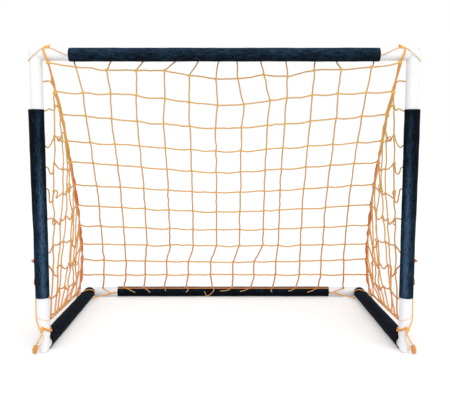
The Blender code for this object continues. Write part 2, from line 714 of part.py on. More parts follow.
def build_rear_ties(side, word):
    """The cord across the inside of the rear corner and the band over the side rail's cover."""
    cover_end = abs(REAR_COVER_ENDS[0] if side == LEFT else REAR_COVER_ENDS[1])
    front = DEPTH - TUBE_R - LASHING / 2
    across = (
        (cover_end + 0.0006, front - 0.0008, RAIL_Z + 0.0020),
        (cover_end + 0.035, front - 0.0020, RAIL_Z - 0.0035),
        (cover_end + 0.080, front - 0.0250, RAIL_Z - 0.0110),
        (POST_X - 0.0290, 0.8020, RAIL_Z - 0.0160),
    )
    path = smooth_path(placed(across, side), 0.014)
    add_rope(f"rear_lashing_{word}", path, LASHING, ROPE_ORANGE)
    wrap = RAIL_COVER_RADII[1] + LASHING / 2 + 0.0018
    centre_x = POST_X + RAIL_COVER_OFFSETS[1][0]
    centre_z = RAIL_Z + RAIL_COVER_OFFSETS[1][1]
    band = [
        (centre_x + wrap * math.cos(a), 0.763 - 0.072 * math.cos(a), centre_z + wrap * math.sin(a))
        for a in np.linspace(math.radians(-40), math.radians(205), 17)
    ]
    add_rope(f"rear_band_{word}", placed(band, side), LASHING, ROPE_ORANGE)


def build_goal():
    build_crossbar()
    build_ground_frame()
    build_rear_cover()
    floor = floor_cutter()
    gaps = build_back_panel()
    build_long_ropes()
    for side, word in SIDES:
        upright = build_front_frame(side, word)
        spigot = build_foot(side, word)
        build_button(side, word, upright, spigot)
        build_post_cover(side, word)
        build_rail_cover(side, word, floor)
        gaps += build_side_panel(side, word)
        build_ropes(side, word)
        build_top_ties(side, word)
        build_foot_ties(side, word)
        build_rear_ties(side, word)
    print(f"gaps in the net: {gaps}")


build_goal()
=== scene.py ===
"""Dresses the coaching goal: powder-coated tubes, foam covers, a knotted net, and its ropes and ties.

Metres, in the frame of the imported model: the goal mouth faces -Y, X runs across it, the floor is Z = 0.
"""

import logging
import math
from dataclasses import dataclass, replace
from enum import Enum
from typing import Iterable, Sequence

import bpy
import numpy as np
from mathutils import Euler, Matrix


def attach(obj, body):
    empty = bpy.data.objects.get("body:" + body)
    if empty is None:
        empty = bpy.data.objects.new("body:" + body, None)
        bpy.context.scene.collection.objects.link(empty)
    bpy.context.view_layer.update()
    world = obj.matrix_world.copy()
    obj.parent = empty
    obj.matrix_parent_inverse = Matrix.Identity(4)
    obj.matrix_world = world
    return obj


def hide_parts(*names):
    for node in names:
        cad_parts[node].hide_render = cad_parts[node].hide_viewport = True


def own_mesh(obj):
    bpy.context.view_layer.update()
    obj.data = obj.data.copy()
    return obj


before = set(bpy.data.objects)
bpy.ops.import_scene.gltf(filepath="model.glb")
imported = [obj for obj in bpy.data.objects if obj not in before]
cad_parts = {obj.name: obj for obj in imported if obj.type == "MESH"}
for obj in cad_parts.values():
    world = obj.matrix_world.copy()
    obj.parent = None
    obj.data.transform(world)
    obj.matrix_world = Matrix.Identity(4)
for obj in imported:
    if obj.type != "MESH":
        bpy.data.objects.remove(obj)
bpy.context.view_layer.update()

log = logging.getLogger("coaching_goal")
logging.basicConfig(level=logging.INFO, format="%(name)s: %(message)s")

Array = np.ndarray
Point = tuple[float, float, float]
Levels = Sequence[float]
Spots = tuple[tuple[float, float], ...]
Places = Sequence[Point] | Array
Colour = tuple[float, float, float]
Inputs = dict[int | str, object]

BODY = "goal"
MAP = "map"
TINT_AND_LIGHT = "tint"
FULL_TURN = 2 * math.pi
ORIGIN = (0.0, 0.0, 0.0)
WHITE = (1.0, 1.0, 1.0, 1.0)

# Distance between the points of a rope, a cord and a fine cord
ROPE_STEP, CORD_STEP, FINE_STEP = 0.05, 0.006, 0.004
# Points on a curve for each given one, on a length of twine, on a row of a side panel and on a knot
CURVE_POINTS, TWINE_POINTS, ROW_POINTS, KNOT_POINTS = 24, 15, 130, 54
# Fixed directions that a path's cross direction is chosen from
CHOICES = 48
# A tube's soft end in its radii: length of the cap, its smaller ring, and the tip past that ring
CAP_LENGTH, CAP_RING, CAP_TIP = 0.45, 0.72, 0.3
# A laid rope in its diameters: radius of a strand, length of one turn, and distance between points
STRAND, LAY, LAY_STEP = 0.255, 3.6, 0.36
# Half the width, thickness and height of the knot curve before it is scaled, and the core's share of them
KNOT_REACH, KNOT_CORE = (2.76, 1.0, 3.0), (0.62, 0.75, 0.62)


class Side(Enum):
    """The two mirrored halves, with the sign of X on each."""

    LEFT = -1
    RIGHT = 1

    def named(self, word: str) -> str:
        """The word with this side's ending."""
        return f"{word}_{self.name.lower()}"


class Slot(Enum):
    """The record's material slots."""

    COAT = "white_powder_coat"
    FOAM = "navy_foam_cover"
    TWINE = "orange_twine"
    ROPE = "orange_rope"
    ZINC = "zinc_plated_steel"
    SPRING = "spring_steel"


@dataclass(frozen=True)
class GoalSizes:
    """The frame's driving sizes, the same as in the part's source."""

    width: float = 1.524
    height: float = 1.219
    depth: float = 0.885
    tube_r: float = 0.0254
    tube_wall: float = 0.0015
    gap: float = 0.0003
    rail_z: float = 0.028
    crossbar_cover_half: float = 0.605
    post_cover_ends: tuple[float, float] = (0.2265, 0.982)
    post_cover_radii: tuple[float, float] = (0.0282, 0.0308)
    post_cover_offsets: tuple[float, float] = (0.0010, 0.0040)
    rail_cover_start: float = 0.030
    rail_cover_radii: tuple[float, float] = (0.0320, 0.0300)
    rail_cover_offsets: tuple[tuple[float, float], ...] = ((0.0038, 0.0024), (0.0022, 0.0010))
    rear_cover_ends: tuple[float, float] = (-0.587, 0.574)
    cover_wall: float = 0.0008

    @property
    def slim_r(self) -> float:
        """Radius of the tubes that plug into the wide ones."""
        return self.tube_r - self.tube_wall - self.gap

    @property
    def cover_r(self) -> float:
        """Outer radius of the tight covers."""
        return self.tube_r + self.gap + self.cover_wall

    @property
    def post_x(self) -> float:
        """Centre line of an upright, from the middle."""
        return self.width / 2 - self.tube_r

    @property
    def bar_z(self) -> float:
        """Centre line of the crossbar above the floor."""
        return self.height - self.tube_r

    @property
    def front_y(self) -> float:
        """Plane of the uprights."""
        return -self.depth / 2

    @property
    def rear_y(self) -> float:
        """Centre line of the rear bar."""
        return self.depth / 2


GOAL = GoalSizes()


@dataclass(frozen=True)
class Surface:
    """Points and faces before they become a mesh, with a map in metres along and turns around."""

    points: Array
    quads: Array
    quad_map: Array
    triangles: Array
    triangle_map: Array
    tint: Array

    @staticmethod
    def join(surfaces: Iterable["Surface"]) -> "Surface":
        """One surface of all the given ones, their face numbers shifted by the points before them.

        Args:
            surfaces: the parts.

        Returns:
            The joined surface.
        """
        parts = list(surfaces)
        starts = np.cumsum([0, *(len(part.points) for part in parts)])
        return Surface(
            np.concatenate([part.points for part in parts]),
            np.concatenate([part.quads + start for part, start in zip(parts, starts)]),
            np.concatenate([part.quad_map for part in parts]),
            np.concatenate([part.triangles + start for part, start in zip(parts, starts)]),
            np.concatenate([part.triangle_map for part in parts]),
            np.concatenate([part.tint for part in parts]),
        )


def make_mesh(name: str, surface: Surface) -> bpy.types.Mesh:
    """Writes a surface into a mesh with its map and tint.

    Args:
        name: name of the mesh.
        surface: what to write.

    Returns:
        The mesh, shaded smooth.
    """
    quads, triangles = surface.quads, surface.triangles
    mesh = bpy.data.meshes.new(name)
    mesh.vertices.add(len(surface.points))
    mesh.vertices.foreach_set("co", surface.points.astype(np.float32).ravel())
    corners = np.concatenate([quads.ravel(), triangles.ravel()])
    mesh.loops.add(len(corners))
    mesh.loops.foreach_set("vertex_index", corners.astype(np.int32))
    starts = np.concatenate([np.arange(len(quads)) * 4, quads.size + np.arange(len(triangles)) * 3])
    mesh.polygons.add(len(starts))
    mesh.polygons.foreach_set("loop_start", starts.astype(np.int32))
    places = np.concatenate([surface.quad_map.reshape(-1, 2), surface.triangle_map.reshape(-1, 2)])
    mesh.uv_layers.new(name=MAP).uv.foreach_set("vector", places.astype(np.float32).ravel())
    tint = mesh.attributes.new(TINT_AND_LIGHT, "FLOAT", "POINT")
    tint.data.foreach_set("value", surface.tint.astype(np.float32))
    mesh.update(calc_edges=True)
    mesh.validate()
    mesh.shade_smooth()
    return mesh


def lengths_along(path: Array) -> Array:
    """Distance walked to each point: the running sum of the steps between them."""
    steps = np.linalg.norm(np.diff(path, axis=-2), axis=-1)
    return np.concatenate([np.zeros((*steps.shape[:-1], 1)), np.cumsum(steps, axis=-1)], axis=-1)


def point_along(path: Array, distance: float | Array) -> Array:
    """Places at given distances along a path, by linear steps between its points."""
    walked = lengths_along(path)
    return np.stack([np.interp(distance, walked, path[:, axis]) for axis in range(3)], axis=-1)


def smooth_path(points: Places, step: float) -> Array:
    """A Catmull-Rom curve through the given points, walked in equal steps.

    Args:
        points: the points that it passes through.
        step: about how far apart the new points are.

    Returns:
        The new points.
    """
    given = np.array(points, float)
    ends = np.vstack([2 * given[0] - given[1], given, 2 * given[-1] - given[-2]])
    share = np.linspace(0, 1, CURVE_POINTS, endpoint=False)[:, None]
    a, b, c, d = (ends[k : len(ends) - 3 + k, None, :] for k in range(4))
    fine = b + 0.5 * (
        (c - a) * share + (2 * a - 5 * b + 4 * c - d) * share**2 + (3 * b - a - 3 * c + d) * share**3
    )
    fine = np.vstack([fine.reshape(-1, 3), given[-1:]])
    length = lengths_along(fine)[-1]
    return point_along(fine, np.linspace(0, length, max(2, round(length / step) + 1)))


def placed(points: Places, side: Side) -> Array:
    """Points given as distance from the middle, distance behind the front plane and height."""
    return np.array(points, float) * [side.value, 1, 1] + [0, GOAL.front_y, 0]


def unit(vectors: Array) -> Array:
    """The vectors at length one."""
    return vectors / np.maximum(np.linalg.norm(vectors, axis=-1, keepdims=True), 1e-12)


def tilt_about_y(angle: float) -> Array:
    """The matrix of a turn about Y."""
    cosine, sine = math.cos(angle), math.sin(angle)
    return np.array([[cosine, 0, sine], [0, 1, 0], [-sine, 0, cosine]])


def full_circle(count: int) -> Array:
    """Turns all the way round, in equal steps."""
    return np.arange(count) / count * FULL_TURN


def ray(first: Array, second: Array, turn: Array) -> Array:
    """Directions at the given turns from one cross direction towards another: cosine and sine of each."""
    return first * np.cos(turn) + second * np.sin(turn)


def directions(count: int) -> Array:
    """Directions spread over a half sphere: equal steps of height, each turned by the golden angle.

    Args:
        count: how many.

    Returns:
        count x 3 directions.
    """
    index = np.arange(count) + 0.5
    height = index / count
    turn = index * math.pi * (3 - math.sqrt(5))
    reach = np.sqrt(1 - height**2)
    return np.stack([reach * np.cos(turn), reach * np.sin(turn), height], axis=1)


def frames_along(paths: Array, closed: bool = False) -> tuple[Array, Array, Array]:
    """Tangent and two cross directions at each point of several paths.

    The tangent is the central difference of the points. The first cross direction is the tangent times
    the one fixed direction that stays furthest from every tangent of its path.

    Args:
        paths: S paths of N points.
        closed: whether each path's last point joins its first.

    Returns:
        The tangents and the two cross directions, each S x N x 3.
    """
    if closed:
        tangents = unit(np.roll(paths, -1, axis=1) - np.roll(paths, 1, axis=1))
    else:
        tangents = unit(np.gradient(paths, axis=1))
    choices = directions(CHOICES)
    leaning = np.abs(np.einsum("snk,ck->snc", tangents, choices)).max(axis=1)
    across = unit(np.cross(tangents, choices[np.argmin(leaning, axis=1)][:, None, :]))
    return tangents, across, np.cross(tangents, across)


def skin(rings: Array, along: Array, tint: float | Array, closed: bool, tips: Array | None = None) -> Surface:
    """Faces between neighbouring rings of several tubes.

    Args:
        rings: S x N x K x 3 points, K in each of N rings.
        along: distance walked to each ring, S x N, or S x (N + 1) where closed.
        tint: tints that broadcast to S x N x K.
        closed: whether the last ring joins the first.
        tips: S x 2 x 3 points that close the ends with fans.

    Returns:
        The tubes' surface.
    """
    count, length, sides = rings.shape[:3]
    numbers = np.arange(count), np.arange(length if closed else length - 1), np.arange(sides)
    tube, ring, at = (grid.reshape(-1, 1) for grid in np.meshgrid(*numbers, indexing="ij"))
    ring, at = ring + [0, 0, 1, 1], at + [0, 1, 1, 0]
    quads = (tube * length + ring % length) * sides + at % sides
    quad_map = np.stack([along[tube, ring], at / sides], axis=2)
    points, tints_and_light = rings.reshape(-1, 3), np.broadcast_to(tint, rings.shape[:3])
    if tips is None:
        return Surface(points, quads, quad_map, np.zeros((0, 3), int), np.zeros((0, 3, 2)), tints_and_light.ravel())
    side = np.arange(sides)
    following = np.roll(side, -1)
    fans, maps = [], []
    for end, (ring, first, second) in enumerate(((0, side, following), (length - 1, following, side))):
        base = (np.arange(count)[:, None] * length + ring) * sides
        tip = len(points) + end * count + np.arange(count)[:, None] + 0 * side
        fans.append(np.stack([base + first, tip, base + second], axis=2).reshape(-1, 3))
        flat = np.stack([np.repeat(along[:, ring], sides), np.tile(side / sides, count)], axis=1)
        maps.append(np.repeat(flat[:, None], 3, axis=1))
    return Surface(
        np.concatenate([points, tips[:, 0], tips[:, 1]]),
        quads,
        quad_map,
        np.concatenate(fans),
        np.concatenate(maps),
        np.concatenate([tints_and_light.ravel(), tints_and_light[:, 0, 0], tints_and_light[:, -1, 0]]),
    )


def sweep(
    paths: Array, radius: float | Array, sides: int = 8, closed: bool = False, tint: float | Array = 0.0
) -> Surface:
    """Round tubes along several paths at once.

    Each ring is the path's point plus radius times cosine and sine of the turn on its two cross
    directions. An open tube ends in a smaller ring and a point, which close it.

    Args:
        paths: one path of N x 3, or S paths of N x 3.
        radius: radii that broadcast to S x N.
        sides: points in a ring.
        closed: whether each path joins its own start.
        tint: 0 for ochre to 1 for red orange, less for brighter dye, broadcast to S x N.

    Returns:
        The tubes' surface.
    """
    paths = np.array(paths, float).reshape(-1, *np.shape(paths)[-2:])
    radii, tints_and_light = (np.broadcast_to(np.asarray(given, float), paths.shape[:2]) for given in (radius, tint))
    tangents, across, upward = frames_along(paths, closed)
    tips = None
    if not closed:
        outwards = tangents[:, [0, -1]] * [[[-1.0], [1.0]]]
        caps = paths[:, [0, -1]] + outwards * radii[:, [0, -1], None] * CAP_LENGTH
        paths = np.concatenate([caps[:, :1], paths, caps[:, 1:]], axis=1)
        radii, tints_and_light = (np.pad(given, ((0, 0), (1, 1)), mode="edge") for given in (radii, tints_and_light))
        across, upward = (np.pad(given, ((0, 0), (1, 1), (0, 0)), mode="edge") for given in (across, upward))
        radii[:, [0, -1]] *= CAP_RING
        tips = caps + outwards * radii[:, [0, -1], None] * CAP_TIP
    ring = ray(across[:, :, None], upward[:, :, None], full_circle(sides)[:, None])
    walked = lengths_along(np.concatenate([paths, paths[:, :1]], axis=1) if closed else paths)
    return skin(paths[:, :, None] + ring * radii[:, :, None, None], walked, tints_and_light[:, :, None], closed, tips)


def lumps(
    centres: Places, size: Point, turns: float | Array, tint: float | Array, rings: int = 5, sides: int = 8
) -> Surface:
    """Small knots, all of one shape: a ball whose radius swells in two crossed bands.

    The radius is 0.98, plus 0.14 times the cosine of twice the turn times the sine of the latitude, plus
    a tenth of the sine of three times the latitude plus the turn.

    Args:
        centres: S x 3 places, or one.
        size: width, thickness and height of each.
        turns: how far each is turned about the axis through the net.
        tint: tint of each.
        rings: rings between the two poles.
        sides: points in a ring.

    Returns:
        The knots' surface.
    """
    centres = np.reshape(centres, (-1, 1, 3))
    count = len(centres)
    turns, tints_and_light = (np.broadcast_to(given, count)[:, None] for given in (turns, tint))
    latitude = ((np.arange(rings) + 1) / (rings + 1) * math.pi)[:, None]
    turn = full_circle(sides)
    swell = 0.98 + 0.14 * np.cos(2 * turn) * np.sin(latitude) + 0.10 * np.sin(3 * latitude + turn)
    wide, high = (np.sin(latitude) * way * swell for way in (np.cos(turn), np.sin(turn)))
    ball = np.stack([wide, np.cos(latitude) + 0 * turn, high], axis=2).reshape(-1, 3)
    shape = np.concatenate([ball, [[0, 1, 0], [0, -1, 0]]]) * np.array(size) / 2
    x = shape[:, 0] * np.cos(turns) - shape[:, 2] * np.sin(turns)
    z = shape[:, 0] * np.sin(turns) + shape[:, 2] * np.cos(turns)
    points = np.stack([x, np.broadcast_to(shape[:, 1], x.shape), z], axis=2) + centres
    along = np.broadcast_to(np.arange(rings) * 0.002, (count, rings))
    grid = points[:, :-2].reshape(count, rings, sides, 3)
    surface = skin(grid, along, tints_and_light[..., None], False, points[:, -2:])
    return replace(surface, triangle_map=0 * surface.triangle_map)


def twisted_strands(path: Array, radius: float, pitch: float, count: int, step: float) -> Array:
    """Centre lines of the strands of a laid rope.

    Each strand is the path plus an offset on the two cross directions, at an angle that grows with the
    distance walked, one turn for each pitch.

    Args:
        path: the rope's own line.
        radius: distance of a strand's line from the rope's.
        pitch: length of one turn.
        count: number of strands.
        step: distance between points.

    Returns:
        count x N x 3 points.
    """
    total = lengths_along(path)[-1]
    at = np.linspace(0, total, max(3, round(total / step) + 1))
    line = point_along(path, at)
    _, across, upward = frames_along(line[None])
    angle = (at / pitch + np.arange(count)[:, None] / count)[..., None] * FULL_TURN
    return line + ray(across, upward, angle) * radius


def laid_rope(path: Array, diameter: float, tint: float | Levels = 0.0, pitch: float = 0.0) -> Surface:
    """A rope of three strands laid round each other inside the given diameter.

    Args:
        path: its line.
        diameter: over the strands.
        tint: one level, or levels spread evenly from start to end.
        pitch: length of one turn, 3.6 diameters if not given.

    Returns:
        The rope's surface.
    """
    strand = diameter * STRAND
    lines = twisted_strands(path, diameter / 2 - strand, pitch or diameter * LAY, 3, diameter * LAY_STEP)
    levels = np.atleast_1d(tint)
    spread = np.interp(np.linspace(0, 1, lines.shape[1]), np.linspace(0, 1, len(levels)), levels)
    return sweep(lines, strand, 7, tint=spread)


def overhand(centre: Array, size: Point, strand: float, lean: float = 0.0, tint: float = 0.5) -> Surface:
    """A tight overhand knot: a cord on a three-lobed knot curve, drawn in to three sizes.

    The curve is (sin t + 2 sin 2t, -sin 3t, cos t - 2 cos 2t), scaled so that the cord's outside has the
    sizes, then leant about Y. A core inside closes its middle.

    Args:
        centre: its middle.
        size: width, thickness and height over the cord.
        strand: radius of the cord.
        lean: turn about Y.
        tint: its tint.

    Returns:
        The knot's surface.
    """
    t = full_circle(KNOT_POINTS)
    curve = np.stack([np.sin(t) + 2 * np.sin(2 * t), -np.sin(3 * t), np.cos(t) - 2 * np.cos(2 * t)], axis=1)
    curve *= (np.array(size) / 2 - strand) / KNOT_REACH
    cord = sweep(curve @ tilt_about_y(lean).T + centre, strand, 8, closed=True, tint=tint)
    core = lumps(centre, np.multiply(size, KNOT_CORE), -lean, tint)
    return Surface.join([cord, core])


class Value:
    """A shader socket that takes part in Python arithmetic. Each operator adds its Math node."""

    def __init__(self, graph: "Graph", socket: bpy.types.NodeSocket) -> None:
        """Keeps the graph that the socket belongs to."""
        self.graph = graph
        self.socket = socket

    def _math(self, operation: str, *terms: "Value | float") -> "Value":
        """A Math node of the given operation on the terms."""
        return self.graph.node("ShaderNodeMath", {"operation": operation}, dict(enumerate(terms)))

    def __add__(self, other: "Value | float") -> "Value":
        """Sum."""
        return self._math("ADD", self, other)

    __radd__ = __add__

    def __sub__(self, other: "Value | float") -> "Value":
        """Difference."""
        return self._math("SUBTRACT", self, other)

    def __rsub__(self, other: "Value | float") -> "Value":
        """Difference, the other way round."""
        return self._math("SUBTRACT", other, self)

    def __mul__(self, other: "Value | float") -> "Value":
        """Product."""
        return self._math("MULTIPLY", self, other)

    __rmul__ = __mul__

    def __truediv__(self, other: "Value | float") -> "Value":
        """Quotient."""
        return self._math("DIVIDE", self, other)

    def __rtruediv__(self, other: "Value | float") -> "Value":
        """Quotient, the other way round."""
        return self._math("DIVIDE", other, self)

    def sine(self) -> "Value":
        """Sine of the value in radians."""
        return self._math("SINE", self)

    def absolute(self) -> "Value":
        """The value without its sign."""
        return self._math("ABSOLUTE", self)

    def between(self, low: float, high: float) -> "Value":
        """0 below low, 1 above high, and a smooth rise from one to the other."""
        settings = {"interpolation_type": "SMOOTHSTEP"}
        return self.graph.node("ShaderNodeMapRange", settings, {0: self, 1: low, 2: high, 3: 0.0, 4: 1.0})


class Graph:
    """A material's node tree, and the one way that nodes are added to it."""

    def __init__(self, tree: bpy.types.NodeTree) -> None:
        """Empties the tree."""
        self.tree = tree
        tree.nodes.clear()

    def node(
        self, kind: str, settings: dict[str, object] | None = None, values: Inputs | None = None,
        output: int | str = 0,
    ) -> Value:
        """Adds a node.

        Args:
            kind: its type.
            settings: its properties, set first.
            values: a number, a tuple or a link for each named or numbered input.
            output: the output that is wanted.

        Returns:
            That output.
        """
        made = self.tree.nodes.new(kind)
        for key, value in (settings or {}).items():
            setattr(made, key, value)
        for key, value in (values or {}).items():
            if isinstance(value, Value):
                self.tree.links.new(value.socket, made.inputs[key])
            else:
                made.inputs[key].default_value = value
        return Value(self, made.outputs[output] if made.outputs else None)

    def place(self) -> Value:
        """Object coordinates, in metres."""
        return self.node("ShaderNodeTexCoord", output="Object")

    def tint(self) -> Value:
        """The tint stored on the piece's points; on the foam covers it holds their painted light and shade.
        """
        return self.node("ShaderNodeAttribute", {"attribute_name": TINT_AND_LIGHT}, output="Fac")

    def map_parts(self) -> tuple[Value, Value]:
        """Metres along and turns around, from the piece's own map."""
        place = {0: self.node("ShaderNodeUVMap", {"uv_map": MAP})}
        along, around = (self.node("ShaderNodeSeparateXYZ", values=place, output=axis) for axis in "XY")
        return along, around

    def stretched(self, place: Value, scale: Point) -> Value:
        """A place multiplied axis by axis."""
        return self.node("ShaderNodeMapping", values={"Vector": place, "Scale": scale})

    def vector(self, x: Value | float, y: Value | float, z: Value | float) -> Value:
        """A place from three numbers."""
        return self.node("ShaderNodeCombineXYZ", values={0: x, 1: y, 2: z})

    def noise(self, place: Value, scale: float, detail: float = 2.0, roughness: float = 0.5) -> Value:
        """Soft noise from 0 to 1 about its middle, `scale` waves to the metre."""
        values = {"Vector": place, "Scale": scale, "Detail": detail, "Roughness": roughness}
        return self.node("ShaderNodeTexNoise", values=values)

    def cells(self, place: Value, scale: float) -> Value:
        """Distance to the nearest of scattered points, `scale` of them to the metre."""
        return self.node("ShaderNodeTexVoronoi", values={"Vector": place, "Scale": scale}, output="Distance")

    def blend(self, share: Value | float, first: object, second: object) -> Value:
        """A colour between two, by a share from 0 to 1.

        Args:
            share: how far from the first to the second.
            first: a colour or a socket.
            second: another.

        Returns:
            The blended colour.
        """
        colours = [(*c, 1.0) if isinstance(c, tuple) else c for c in (first, second)]
        settings = {"data_type": "RGBA", "clamp_factor": True}
        return self.node("ShaderNodeMix", settings, {0: share, 6: colours[0], 7: colours[1]}, 2)

    def relief(self, height: Value, depth: float, strength: float) -> Value:
        """A normal bent by a height from 0 to 1 that stands for a depth in metres."""
        return self.node("ShaderNodeBump", values={"Strength": strength, "Distance": depth, "Height": height})

    def seen(self) -> Value:
        """1 for the rays that show or mirror the background, 0 for those that carry its light."""
        names = ("Is Camera Ray", "Is Glossy Ray", "Is Transmission Ray")
        camera, glossy, through = (self.node("ShaderNodeLightPath", output=name) for name in names)
        return camera + glossy + through

    def end(self, shader: Value, kind: str = "ShaderNodeOutputMaterial") -> None:
        """Links a shader to the tree's output."""
        self.node(kind, values={"Surface": shader})


@dataclass(frozen=True)
class Finish:
    """A finish of the goal: the name of its material, and its slot in the record."""

    name: str
    slot: Slot

    def inputs(self, graph: Graph) -> Inputs:
        """The Principled shader's inputs, which each kind of finish works out.

        Args:
            graph: the material's node tree.

        Returns:
            The shader's inputs by name.
        """
        raise NotImplementedError

    def material(self) -> bpy.types.Material:
        """The material, built the first time that it is asked for.

        Returns:
            The material.
        """
        material = bpy.data.materials.get(self.name)
        if material is None:
            material = bpy.data.materials.new(self.name)
            material.use_nodes = True
            graph = Graph(material.node_tree)
            graph.end(graph.node("ShaderNodeBsdfPrincipled", values=self.inputs(graph)))
        return material


@dataclass(frozen=True)
class PowderCoat(Finish):
    """White powder coat: a fine orange peel, faint handling marks and a soft gloss."""

    white: Colour = (0.885, 0.897, 0.915)
    grey: Colour = (0.74, 0.755, 0.78)
    peel_depth: float = 0.00012

    def inputs(self, graph: Graph) -> Inputs:
        """White, dulled by scuffs drawn along the tubes, marks and a little soil.

        Args:
            graph: the material's node tree.

        Returns:
            The shader's inputs by name.
        """
        place = graph.place()
        cloud = graph.noise(place, 7.0, 3.0)
        scuffs = graph.noise(graph.stretched(place, (260.0, 260.0, 60.0)), 1.0, 3.0, 0.6).between(0.64, 0.74)
        marks = graph.noise(place, 22.0, 3.0).between(0.60, 0.72)
        soil = scuffs * 0.16 + marks * 0.10 + cloud.between(0.4, 0.8) * 0.06
        return {
            "Base Color": graph.blend(soil, self.white, self.grey),
            "Roughness": 0.30 + cloud * 0.12 + scuffs * 0.12,
            "Specular IOR Level": 0.45,
            "Normal": graph.relief(graph.noise(place, 620.0), self.peel_depth, 0.35),
        }


@dataclass(frozen=True)
class FoamSkin(Finish):
    """Navy skinned foam: painted shade and highlight by each point's tint, mottled along its length, with
    fine pores.
    """

    # the near black of the painted shade, where the tint or the mottle is low
    deep: Colour = (0.0022, 0.0036, 0.0062)
    navy: Colour = (0.0110, 0.0275, 0.0500)
    # the light blue of the painted highlight
    highlight_blue: Colour = (0.0400, 0.0840, 0.1480)
    scratch: Colour = (0.09, 0.13, 0.17)
    relief_depth: float = 0.0008

    def inputs(self, graph: Graph) -> Inputs:
        """Navy by tint and mottle, with painted shade in creases, painted highlight blue, and lighter
        scratches.

        Args:
            graph: the material's node tree.

        Returns:
            The shader's inputs by name.
        """
        place = graph.place()
        along, around = graph.map_parts()
        patches = graph.noise(place, 11.0, 3.0, 0.6)
        mottle = graph.noise(place, 85.0, 4.0, 0.65)
        grain = graph.noise(graph.vector(along * 26.0, around * 24.0, 0.0), 1.0, 4.0, 0.65)
        pores = graph.cells(place, 520.0)
        streaks = graph.noise(graph.stretched(place, (340.0, 340.0, 46.0)), 1.0, 4.0, 0.7)
        flecks = streaks.between(0.62, 0.72) * graph.noise(place, 30.0).between(0.50, 0.62)
        folds = graph.noise(graph.vector(along * 22.0, around * 15.0, 3.0), 1.0, 3.0, 0.6)
        # Painted shade: the colour darkens along the creases, which the bump also dents.
        crease = 1 - (folds - 0.5).absolute().between(0.0, 0.035)
        uneven = patches * 0.35 + mottle * 0.40 + grain * 0.75 - 0.75
        level = graph.tint() + uneven * 2.0 - crease * 0.45
        base = graph.blend(level.between(-0.10, 0.60), self.deep, self.navy)
        # Painted highlight: the colour turns light blue where the level runs high, mostly in the tint's
        # highlight band, partly by the mottle.
        highlighted = graph.blend(level.between(0.45, 1.20), base, self.highlight_blue)
        height = mottle * 0.3 + pores * 0.25 + streaks * 0.15 + grain * 0.3 - crease * 0.35
        return {
            "Base Color": graph.blend(flecks * 0.35, highlighted, self.scratch),
            "Roughness": 0.64 + mottle * 0.20 + pores * 0.06,
            "Specular IOR Level": 0.04,
            "Normal": graph.relief(height, self.relief_depth, 0.50),
        }


@dataclass(frozen=True)
class LaidFibre(Finish):
    """Dyed synthetic twine or rope: strands laid round each other, with painted shade in the grooves and
    loose fibres.
    """

    pale: Colour
    ochre: Colour
    red: Colour
    # the colour of the painted shade in the grooves between the strands
    groove: Colour
    bright: Colour
    strands: int
    pitch: float
    relief_depth: float = 0.0006

    def inputs(self, graph: Graph) -> Inputs:
        """Ochre to red by the tint, paler on some yarns, bright where the tint is below 0.

        Args:
            graph: the material's node tree.

        Returns:
            The shader's inputs by name.
        """
        place = graph.place()
        along, around = graph.map_parts()
        lay = (around - along / self.pitch) * (math.pi * self.strands)
        ridge = lay.sine().absolute()
        twist = around * 9.0 - along * (9.0 / self.pitch)
        yarn = graph.noise(graph.vector(along * 260.0, twist, 0.0), 1.0, 3.0)
        drift = graph.noise(place, 26.0, 3.0)
        tint = graph.tint()
        dyed = graph.blend((tint + (drift - 0.5) * 0.7).between(-0.1, 1.1), self.ochre, self.red)
        lit = graph.blend((yarn * 0.5 + drift * 0.5).between(0.42, 0.70) * 0.5, dyed, self.pale)
        # Painted shade: the colour darkens towards the groove colour between the strands' ridges.
        shade = (1 - ridge.between(0.0, 0.50)) * 0.34 + yarn.between(0.30, 0.55) * -0.06 + 0.06
        fresh = (tint * -1.0).between(0.1, 0.8) * 0.9
        return {
            "Base Color": graph.blend(shade, graph.blend(fresh, lit, self.bright), self.groove),
            "Roughness": 0.62 + yarn * 0.22,
            "Specular IOR Level": 0.35,
            "Sheen Weight": 0.15,
            "Sheen Roughness": 0.5,
            "Normal": graph.relief(ridge * 0.8 + yarn * 0.2, self.relief_depth, 0.7),
        }


@dataclass(frozen=True)
class BrightSteel(Finish):
    """Plated or polished steel with fine turned lines."""

    bright: Colour
    dull: Colour
    gloss: float
    line_depth: float = 0.00004

    def inputs(self, graph: Graph) -> Inputs:
        """Bright metal with duller spots, and fine lines across Z.

        Args:
            graph: the material's node tree.

        Returns:
            The shader's inputs by name.
        """
        place = graph.place()
        lines = graph.noise(graph.stretched(place, (300.0, 300.0, 2600.0)), 1.0)
        spots = graph.noise(place, 420.0, 3.0)
        return {
            "Base Color": graph.blend(spots.between(0.45, 0.75) * 0.6, self.bright, self.dull),
            "Metallic": 1.0,
            "Roughness": self.gloss + spots * 0.16,
            "Normal": graph.relief(lines, self.line_depth, 0.4),
        }


COAT = PowderCoat("powder_coat", Slot.COAT)
FOAM = FoamSkin("foam_skin", Slot.FOAM)
ZINC = BrightSteel("zinc_plate", Slot.ZINC, (0.82, 0.82, 0.83), (0.58, 0.59, 0.60), 0.26)
SPRING = BrightSteel("spring_strip", Slot.SPRING, (0.42, 0.43, 0.45), (0.30, 0.30, 0.32), 0.30)
TWINE = LaidFibre(
    "net_twine", Slot.TWINE, pale=(0.80, 0.60, 0.33), ochre=(0.80, 0.455, 0.130), red=(0.80, 0.235, 0.045),
    groove=(0.48, 0.22, 0.065), bright=(1.00, 0.61, 0.090), strands=3, pitch=0.013,
)
CORD = LaidFibre(
    "pale_cord", Slot.TWINE, pale=(0.97, 0.78, 0.50), ochre=(0.94, 0.64, 0.34), red=(0.92, 0.48, 0.16),
    groove=(0.70, 0.40, 0.18), bright=(0.95, 0.60, 0.12), strands=3, pitch=0.010,
)
